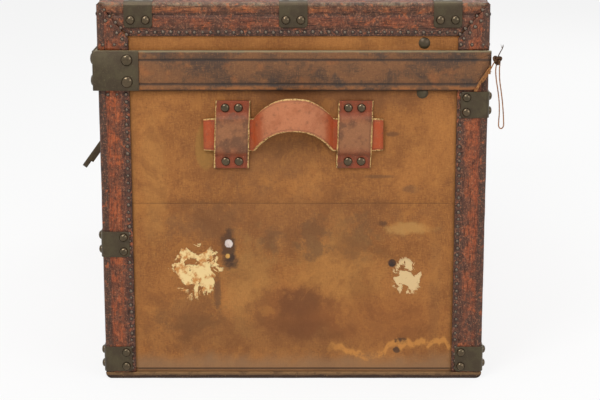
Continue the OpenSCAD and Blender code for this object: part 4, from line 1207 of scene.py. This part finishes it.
def domes(name, node, body, sides=24):
    points, faces = [], []
    for low, high in islands(node):
        size, middle = high - low, (low + high) / 2
        thin = min(range(3), key=lambda k: size[k])
        out, side = Vector((0, 0, 0)), Vector((0, 0, 0))
        out[thin] = sign(middle[thin])
        side[(thin + 1) % 3] = 1
        up = out.cross(side)
        radius, tall = max(size) / 2, size[thin]
        foot = middle - out * tall / 2
        start = len(points)
        for reach, rise in DOME:
            for k in range(sides):
                a = 2 * math.pi * k / sides
                arm = math.cos(a) * side + math.sin(a) * up
                uneven = 1 + 0.07 * rough(*(foot + arm * radius * reach), 0.006)
                aside, lift = radius * min(1, reach * uneven), tall * rise * min(1, uneven)
                points.append(foot + arm * aside + out * lift)
        rings = len(DOME)
        faces += [(start + i * sides + k, start + i * sides + (k + 1) % sides,
                   start + (i + 1) * sides + (k + 1) % sides, start + (i + 1) * sides + k)
                  for i in range(rings - 1) for k in range(sides)]
        faces += [tuple(start + k for k in range(sides)),
                  tuple(start + (rings - 1) * sides + k for k in range(sides))]
    piece = outward(build(name, points, faces))
    return hand_over(piece, body, "patinated_metal", rivet_metal, node)


for part, body in (("body", "trunk_body"), ("lid", "lid"), ("handle", "trunk_body")):
    domes(part + "_rivet_domes", part + "_rivets", body)
print("rivets with", len(DOME), "rings")

# %% [markdown]
# ## The band
# A batten under cloth: a thick strip with rounded edges and two pressed lines, which
# hangs over the body. Its rear lower corner has been torn away, so the strip's lower
# edge climbs there, with a ragged rim.

# %% Band
BAND_IN, BAND_OUT = 0.4 * MM, 4.2 * MM
BAND_TALL, PACKING_LOW = 51 * MM, 20.6 * MM
BAND_LINE = [(0, 2.6), (0.25, 3.4), (1.2, 3.9), (3, 4.2), (6.4, 4.2), (7.4, 3.9), (8.3, 3.2),
             (9.2, 3.9), (10.4, 4.2), (25, 4.25), (37.4, 4.2), (38.5, 3.9), (39.4, 3.2),
             (40.3, 3.9), (41.5, 4.2), (48.6, 4.2), (50.2, 3.7), (51, 2.4)]


def band_strip(name, out, face, start, stop, count, tear, back_stop):
    """One side of the band; back_stop limits the packing behind it."""
    along = Vector((0, 1, 0)) if abs(out.x) else Vector((1, 0, 0))
    rings, lay = [], []
    for k in range(count + 1):
        run = start + (stop - start) * k / count
        foot = 0.0
        if tear and run > TEAR_Y:
            foot = TEAR_RISE * min(1, (run - TEAR_Y) / (SIDE - TEAR_Y))
            foot += abs(rough(run, 0.3, 0.7, 0.003)) * 4 * MM
        ring = []
        for a, h in BAND_LINE:
            a, h = a * MM, h * MM
            rise = foot + a * (BAND_TALL - foot) / BAND_TALL
            point = out * (face + h) + along * run + Vector((0, 0, BAND_LOW + rise))
            dent = max(0, rough(*point, 0.045)) * 0.5 * MM
            dent += max(0, rough(*point, 0.012)) * 0.25 * MM
            ring.append(point - out * dent)
            lay.append((rise, run))
        held = min(max(run, -back_stop), back_stop)
        behind = [(-SKIN, BAND_TALL, held), (-SKIN, PACKING_LOW, held),
                  (BAND_IN, PACKING_LOW, run), (BAND_IN, foot, run)]
        for depth, rise, spot in behind:
            ring.append(out * (face + depth) + along * spot + Vector((0, 0, BAND_LOW + rise)))
            lay.append((rise, run))
        rings.append(ring)
    return outward(build(name, *skin_rings(rings), lay))


front_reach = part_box("lid_front_band")[1].x
front_strip = band_strip("front_band_cloth", Vector((0, -1, 0)), SIDE, -front_reach, front_reach,
                         120, False, CANVAS_END)
hand_over(front_strip, "lid", "band_cloth", band_cloth, "lid_front_band")
end_low, end_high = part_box("lid_end_bands")
strips = [band_strip("end_band", Vector((s, 0, 0)), END, end_low.y, end_high.y, 110, True,
                     SIDE - MM) for s in (-1, 1)]
hand_over(join("end_bands_cloth", strips), "lid", "band_cloth", band_cloth, "lid_end_bands")


print("band hangs", round((PART - BAND_LOW) / MM, 1), "mm over the body")

# %% [markdown]
# ## The torn corner
# Where the band is torn, its cloth has rolled up along the tear and sheds threads. The
# roll is the same two-lobed ring as the twine, only thicker, and each thread is a very
# short cord of its own.

# %% Frayed rim
def frayed_rim(sx):
    """The torn cloth, rolled up along the tear, with loose threads."""
    start_y = TEAR_Y - 3 * MM
    line = [Vector((sx * (END + BAND_OUT + 0.5 * MM * math.sin(9 * t)),
                    start_y + (SIDE - start_y) * t,
                    BAND_LOW + 1 * MM + TEAR_RISE * max(0, t * 1.15 - 0.15) ** 0.9
                    + rough(t, sx, 2, 0.2) * 1.5 * MM)) for t in even(24)]
    pieces = [plied_cord("rim_roll", line, 2.0 * MM, 13 * MM)]
    for k in range(26):
        root = line[1 + (k * 7) % 23]
        a = 1.9 * k
        reach = Vector((sx * 0.5, 0.8 + math.cos(a), math.sin(1.7 * a) - 0.5)) * 2.2 * MM
        sag = Vector((0, 0, 0.8 * MM * math.sin(a)))
        pieces.append(plied_cord("rim_thread", [root, root + reach * 0.5 + sag, root + reach],
                                 0.25 * MM, 5 * MM, sides=5, taper=0.5))
    return join("frayed_rim", pieces)


torn_rims = join("frayed_rims", [frayed_rim(s) for s in (-1, 1)])
hand_over(torn_rims, "lid", "band_cloth", twine_finish)
print("rims frayed at both ends")

# %% [markdown]
# ## The handles
# A strap runs behind two riveted loops and bows out between them. Both are belts: a
# rounded section carried along a path. The strap bends quickly just inside each
# loop, so its path is the same rule as in the frame, a bow that is flat in the
# middle and steep at the ends.

# %% Straps
STRAP_T = 5 * MM
BOW_OUT, BOW_UP, BEND_Y = 28 * MM, 30 * MM, 50.5 * MM
LOOP_T, LOOP_Y = 3.5 * MM, 79 * MM
loop_low, loop_high = (c.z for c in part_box("handle_loops"))
HANDLE_Z = (loop_low + loop_high) / 2


def belt_section(half_w, thick):
    """Rounded outline of a belt: (across, depth) from -half_w to half_w."""
    r = thick * 0.32
    top = [(-half_w, 0.0), (-half_w + r * 0.3, thick / 2 - r * 0.6),
           (-half_w + r, thick / 2 - r * 0.1)]
    flat = [(half_w * f, thick / 2) for f in (-0.86, -0.6, -0.3, 0, 0.3, 0.6, 0.86)]
    upper = top + flat + [(-a, d) for a, d in reversed(top)]
    return upper + [(a, -d) for a, d in reversed(upper[1:-1])]


def strap_centre(y):
    grow = 1 - min(1, abs(y) / BEND_Y) ** 2.4
    out = CANVAS_END + 0.4 * MM + STRAP_T / 2 + BOW_OUT * grow
    return Vector((out, y, HANDLE_Z + BOW_UP * grow))


def end_strap(name, sx):
    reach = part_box("right_handle_strap")[1].y
    ys = sorted({round(s * v, 5) for s in (-1, 1) for v in
                 [BEND_Y * k / 22 for k in range(23)]
                 + [BEND_Y + (reach - BEND_Y) * k / 12 for k in range(1, 13)]})
    rings, lay = [], []
    for y in ys:
        ahead = (strap_centre(y + 0.2 * MM) - strap_centre(y - 0.2 * MM))
        ahead = Vector((ahead.x, ahead.y, 0)).normalized()
        face = Vector((ahead.y, -ahead.x, 0))
        centre = strap_centre(y)
        narrow = 1 - 0.05 * max(0, (abs(y) - 0.1) / 0.0155) ** 2
        ring = []
        for a, d in belt_section(STRAP_H / 2, STRAP_T):
            ragged = rough(y, a * 40, sx, 0.006) * 0.5 * MM * (abs(a) > 0.018)
            point = centre + Vector((0, 0, a * narrow + ragged)) + face * d
            point.x = min(point.x, centre.x + face.x * d)
            ring.append(Vector((point.x * sx, point.y, point.z)))
            lay.append((a, y))
        rings.append(ring)
    return outward(build(name, *skin_rings(rings), lay))


for side_name, sx in (("right", 1), ("left", -1)):
    strap = end_strap(side_name + "_strap_belt", sx)
    hand_over(strap, side_name + "_handle", "handle_leather", strap_leather,
              side_name + "_handle_strap")
print("straps bow out", BOW_OUT, "m")

# %% [markdown]
# A loop lies flat where it is riveted and stands off in the middle, where the strap
# runs behind it. Old loops lean a little, so each is tilted by its own small amount.

# %% Loops
def loop_path():
    """The loop's outer line: (height from the handle's middle, distance from the canvas)."""
    half = loop_high - HANDLE_Z
    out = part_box("handle_loops")[1].x - CANVAS_END
    shape = [(half, LOOP_T), (half * 0.82, LOOP_T), (half * 0.645, LOOP_T * 1.1),
             (half * 0.565, out * 0.72), (half * 0.50, out * 0.95), (half * 0.40, out * 1.03),
             (0, out * 1.10)]
    shape = shape + [(-z, d) for z, d in reversed(shape[:-1])]
    return smooth_route([(d, 0, z) for z, d in shape], 5)


def end_loop(sx, sy, tilt):
    line = loop_path()
    rings, lay, run = [], [], 0.0
    total = sum((b - a).length for a, b in zip(line, line[1:]))
    for i, point in enumerate(line):
        ahead = ahead_at(line, i)
        out = Vector((-ahead.z, 0, ahead.x))
        out = out if out.x > 0 else -out
        run += (point - line[i - 1]).length if i else 0
        ring = []
        for a, d in belt_section(LOOP_W / 2, LOOP_T):
            wobble = rough(a * 30, run + sy, sx, 0.012) * 0.7 * MM
            lean = (point.z) * tilt
            spot = point + out * (d - LOOP_T / 2)
            ring.append(Vector((sx * (CANVAS_END + max(spot.x, 0.05 * MM)),
                                sy * LOOP_Y + a + lean + wobble, HANDLE_Z + spot.z)))
            lay.append((a, run - total / 2))
        rings.append(ring)
    return outward(build("loop", *skin_rings(rings), lay))


loops = [end_loop(sx, sy, tilt) for sx in (-1, 1) for sy, tilt in ((-1, 0.035), (1, 0.03))]
hand_over(join("handle_loops_belt", loops), "trunk_body", "handle_leather", loop_leather,
          "handle_loops")
print(len(loops), "loops")

# %% [markdown]
# ## Tray tapes
# Each end of the tray is lifted by a loop of tape. A ribbon follows the loop's
# outline, up, across and down, slightly puffed away from the wood.

# %% Tray tapes
def tape_loop(sx):
    pull_low, pull_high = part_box("tray_pulls")
    x_out = pull_high.x - 0.75 * MM
    half, top, foot = pull_high.y - 7 * MM, pull_high.z - 7.5 * MM, pull_low.z
    rise = [(half, foot), (half, (foot + top) / 2), (half, top - 12 * MM),
            (half * 0.9, top - 3 * MM), (half * 0.55, top)]
    route = [(-y, z) for y, z in rise] + [(0, top)] + rise[::-1]
    line = smooth_route([(0, y, z) for y, z in route], 6)
    rings = []
    for i, point in enumerate(line):
        ahead = ahead_at(line, i)
        across = Vector((0, -ahead.z, ahead.y))
        rings.append([Vector((sx * (x_out + d), 0, 0)) + point + across * a
                      for a, d in belt_section(6.6 * MM, 1.3 * MM)])
    return outward(build("tape", *skin_rings(rings)))


hand_over(join("tray_tapes", [tape_loop(s) for s in (-1, 1)]), "tray", "tape", tape, "tray_pulls")
print("two tape loops")

# %% [markdown]
# ## Rows of small nails
# The leather is held by hundreds of small nails in straight rows. Geometry Nodes suit
# this: the rows are drawn as plain edges, each with the direction its nails face, and
# a tree cuts every row into equal steps, shifts each point a little, and sets a nail
# head on it. The heads are made real at the end, so that they are ordinary mesh.

# %% A node tree for nail rows
def nail_tree():
    tree = bpy.data.node_groups.new("nail_rows", "GeometryNodeTree")
    face = tree.interface
    face.new_socket("Geometry", in_out="INPUT", socket_type="NodeSocketGeometry")
    ids = {}
    for label, value in (("Pitch", 9.6 * MM), ("Head radius", 2.6 * MM), ("Head height", 1.5 * MM),
                         ("Shift", 0.5 * MM)):
        item = face.new_socket(label, in_out="INPUT", socket_type="NodeSocketFloat")
        item.default_value, ids[label] = value, item.identifier
    item = face.new_socket("Seed", in_out="INPUT", socket_type="NodeSocketInt")
    item.default_value, ids["Seed"] = 7, item.identifier
    face.new_socket("Geometry", in_out="OUTPUT", socket_type="NodeSocketGeometry")

    def add(kind, inputs=(), **settings):
        made = tree.nodes.new(kind)
        for key, value in settings.items():
            setattr(made, key, value)
        for key, value in dict(inputs).items():
            if isinstance(value, bpy.types.NodeSocket):
                tree.links.new(value, made.inputs[key])
            else:
                made.inputs[key].default_value = value
        return made

    given = add("NodeGroupInput").outputs
    rows = add("GeometryNodeMeshToCurve", {"Mesh": given["Geometry"]})
    cut = add("GeometryNodeResampleCurve", {"Curve": rows.outputs[0], "Length": given["Pitch"]},
              mode="LENGTH")
    shift, back = (add("ShaderNodeVectorMath", {0: (v, v, v), "Scale": given["Shift"]},
                       operation="SCALE") for v in (1, -1))
    moved = add("FunctionNodeRandomValue", {"Min": back.outputs[0], "Max": shift.outputs[0],
                                            "Seed": given["Seed"]}, data_type="FLOAT_VECTOR")
    facing = add("GeometryNodeInputNamedAttribute", {"Name": "facing"}, data_type="FLOAT_VECTOR")
    along = add("ShaderNodeVectorMath", {0: moved.outputs[0], 1: facing.outputs[0]},
                operation="PROJECT")
    flat = add("ShaderNodeVectorMath", {0: moved.outputs[0], 1: along.outputs[0]},
               operation="SUBTRACT")
    placed = add("GeometryNodeSetPosition", {"Geometry": cut.outputs[0], "Offset": flat.outputs[0]})
    turned = add("FunctionNodeAlignRotationToVector", {"Vector": facing.outputs[0]}, axis="Z")
    head = add("GeometryNodeMeshUVSphere", {"Segments": 12, "Rings": 8, "Radius": 1.0})
    high = add("GeometryNodeInputPosition")
    parts = add("ShaderNodeSeparateXYZ", {0: high.outputs[0]})
    crowned = add("GeometryNodeStoreNamedAttribute", {"Geometry": head.outputs[0], "Name": "crown",
                                                      "Value": parts.outputs[2]},
                  data_type="FLOAT", domain="POINT")
    size = add("ShaderNodeCombineXYZ", {0: given["Head radius"], 1: given["Head radius"],
                                        2: given["Head height"]})
    shaped = add("GeometryNodeTransform",
                 {"Geometry": crowned.outputs[0], "Scale": size.outputs[0]})
    varied = add("FunctionNodeRandomValue", {2: 0.82, 3: 1.1, "Seed": given["Seed"]},
                 data_type="FLOAT")
    heads = add("GeometryNodeInstanceOnPoints", {
        "Points": placed.outputs[0], "Instance": shaped.outputs[0], "Rotation": turned.outputs[0],
        "Scale": varied.outputs[1]})
    real = add("GeometryNodeRealizeInstances", {0: heads.outputs[0]})
    smooth = add("GeometryNodeSetShadeSmooth", {0: real.outputs[0]})
    coated = add("GeometryNodeSetMaterial", {"Geometry": smooth.outputs[0], "Material": nail_dark})
    result = add("NodeGroupOutput")
    tree.links.new(coated.outputs[0], result.inputs[0])
    return tree, ids


nail_rows_tree, nail_ids = nail_tree()
print("nail tree inputs:", ", ".join(nail_ids))

# %% [markdown]
# ## Setting the nails
# The rows are listed as start, end and facing. Leather on the body has a row close to
# the inner edge of each upright and a short one across its top. On the lid they
# follow both edges of the rim, both sides of every mitre and the foot of each patch.

# %% Nail rows
HEAD_POINTS = 12 * 7 + 2


def nailed(name, rows, body, **sizes):
    """A mesh of nail heads along rows of (start, end, facing)."""
    mesh = bpy.data.meshes.new(name + "_rows")
    mesh.from_pydata([p for row in rows for p in row[:2]],
                     [(2 * i, 2 * i + 1) for i in range(len(rows))], [])
    layer = mesh.attributes.new("facing", "FLOAT_VECTOR", "POINT")
    for i, row in enumerate(rows):
        layer.data[2 * i].vector = layer.data[2 * i + 1].vector = row[2]
    source = show(name + "_rows", mesh)
    modifier = source.modifiers.new("nails", "NODES")
    modifier.node_group = nail_rows_tree
    for label, value in sizes.items():
        modifier[nail_ids[label.replace("_", " ")]] = value
    depsgraph = bpy.context.evaluated_depsgraph_get()
    data = bpy.data.meshes.new_from_object(source.evaluated_get(depsgraph))
    data.name = name
    bpy.data.objects.remove(source)
    print(name, len(data.vertices) // HEAD_POINTS, "heads")
    return hand_over(show(name, data), body, "patinated_metal", nail_dark)


body_rows, lid_rows = [], []
NAIL_IN, NAIL_SINK, LID_SINK = 4.3 * MM, 0.75 * MM, 0.5 * MM
MITRE_ASIDE = (-2.52 * MM, 3.12 * MM)


def row(out, on, along, start, stop, facing=None):
    """A row on the face out * on; start and stop are (distance along, height)."""
    ends = [out * on + along * a + UP * z for a, z in (start, stop)]
    return (*ends, facing or out)


low, high, under = leather_low.z + 6 * MM, PART - 26 * MM, BAND_LOW - 6 * MM
foot = BAND_HIGH + 7 * MM
for sx, sy in CORNERS:
    out_x, out_y = Vector((sx, 0, 0)), Vector((0, sy, 0))
    for out, along, half, face in ((out_x, out_y, SIDE, END), (out_y, out_x, END, SIDE)):
        inset, outer, on = half - PATCH_W + NAIL_IN, half - 8 * MM, face - LID_SINK
        body_rows.append(row(out, face - NAIL_SINK, along, (inset, low), (inset, high)))
        lid_rows.append(row(out, on, along, (outer, foot), (half - PATCH_W + 3 * MM, foot)))
        for aside in MITRE_ASIDE:
            lid_rows.append(row(out, on, along, (outer + aside, TOP - 12 * MM - aside),
                                (half - 36 * MM + aside, TOP - RIM_W - aside)))
    body_rows.append(row(out_x, END - NAIL_SINK, out_y, (SIDE - 12 * MM, under),
                         (SIDE - PATCH_W + NAIL_IN, under)))
for out, along, half, face in ((Vector((1, 0, 0)), Vector((0, 1, 0)), SIDE, END),
                               (Vector((0, 1, 0)), Vector((1, 0, 0)), END, SIDE)):
    reach = half - PATCH_W - 4 * MM
    deep = RIM_W - NAIL_IN - 1 * MM
    for s in (-1, 1):
        lid_rows.append(row(out * s, face - LID_SINK, along, (-reach, TOP - deep),
                            (reach, TOP - deep)))
        lid_rows.append(row(out * s, face - deep, along, (-reach, TOP - LID_SINK),
                            (reach, TOP - LID_SINK), UP))
nailed("body_nails", body_rows, "trunk_body")
nailed("lid_nails", lid_rows, "lid", Pitch=9.9 * MM)

# %% [markdown]
# ## Parts of the frame that stay
# Boards, tray, linings, stays and pins already have the right shape. They keep the
# frame's mesh and only get a finish.

# %% Finishes on the frame's own parts
def coat(material, *names):
    for name in names:
        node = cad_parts[name]
        if not node.material_slots:
            node.data.materials.append(material)
        for held in node.material_slots:
            held.material = material


coat(pine, "base_board", "front_board", "rear_board", "left_end_board", "right_end_board",
     "tray_ledges", "tray_side_walls", "tray_end_walls", "tray_bottom", "lid_top_board",
     "lid_front_board", "lid_rear_board", "lid_end_boards")
coat(lining_paper, "body_lining", "lid_lining")
coat(dark_metal, "hinge_pins", "hasp_pin", "stay_body_studs", "stay_lid_studs",
     "left_stay_lower", "left_stay_upper", "right_stay_lower", "right_stay_upper")
coat(brass, "lock_escutcheon")
print("frame parts coated")

# %% [markdown]
# ## Light and floor
# Old leather and dull metal want broad, soft light: one large lamp high on the left,
# weaker ones on the right, overhead for the edges of the lid and behind, and a plain
# surrounding light. The floor is a pale sheet that the camera sees as nearly white.

# %% Lamps, surroundings and floor
LIT_POINT = Vector((0, 0, 0.25))
FLOOR_REACH = 12


def lamp(name, spot, size, power):
    data = bpy.data.lights.new(name, "AREA")
    data.energy, data.size = power, size
    made = show(name, data)
    made.location = spot
    made.rotation_euler = (LIT_POINT - Vector(spot)).to_track_quat("-Z", "Y").to_euler()


LAMPS = [("key", (2.4, -1.2, 2.6), 1.2, 52), ("fill", (2.8, 2.2, 1.4), 1.6, 24),
         ("overhead", (0.3, 0, 2.6), 1.6, 24), ("behind", (-2.6, 1.6, 2.0), 1.6, 26)]
for name, spot, size, power in LAMPS:
    lamp(name, spot, size, power)

world = bpy.data.worlds.new("surroundings")
scene.world = world
write_into(world)


def seen_directly():
    """1 where the camera, a mirror or glass looks straight at the surface."""
    rays = [Wire.node("ShaderNodeLightPath", {}, out=name)
            for name in ("Is Camera Ray", "Is Glossy Ray", "Is Transmission Ray")]
    return rays[0].maths("MAXIMUM", rays[1]).maths("MAXIMUM", rays[2])


glow, white = (Wire.node("ShaderNodeBackground", {"Color": (1, 1, 1, 1), "Strength": strength})
               for strength in (0.32, 1.0))
sky = Wire.node("ShaderNodeMixShader", {0: seen_directly(), 1: glow, 2: white})
Wire.node("ShaderNodeOutputWorld", {"Surface": sky})

floor_material = bpy.data.materials.new("floor")
write_into(floor_material)
paper = Wire.node("ShaderNodeBsdfDiffuse", {"Color": (0.86, 0.86, 0.85, 1)})
bright = Wire.node("ShaderNodeEmission", {"Color": (1, 1, 1, 1), "Strength": 1.0})
ground = Wire.node("ShaderNodeMixShader", {0: seen_directly() * 0.85, 1: paper, 2: bright})
Wire.node("ShaderNodeOutputMaterial", {"Surface": ground})
square = ((-1, -1), (1, -1), (1, 1), (-1, 1))
floor_corners = [(x * FLOOR_REACH, y * FLOOR_REACH, 0) for x, y in square]
floor = build("floor", floor_corners, [(0, 1, 2, 3)])
floor.data.materials.append(floor_material)
print("light set")
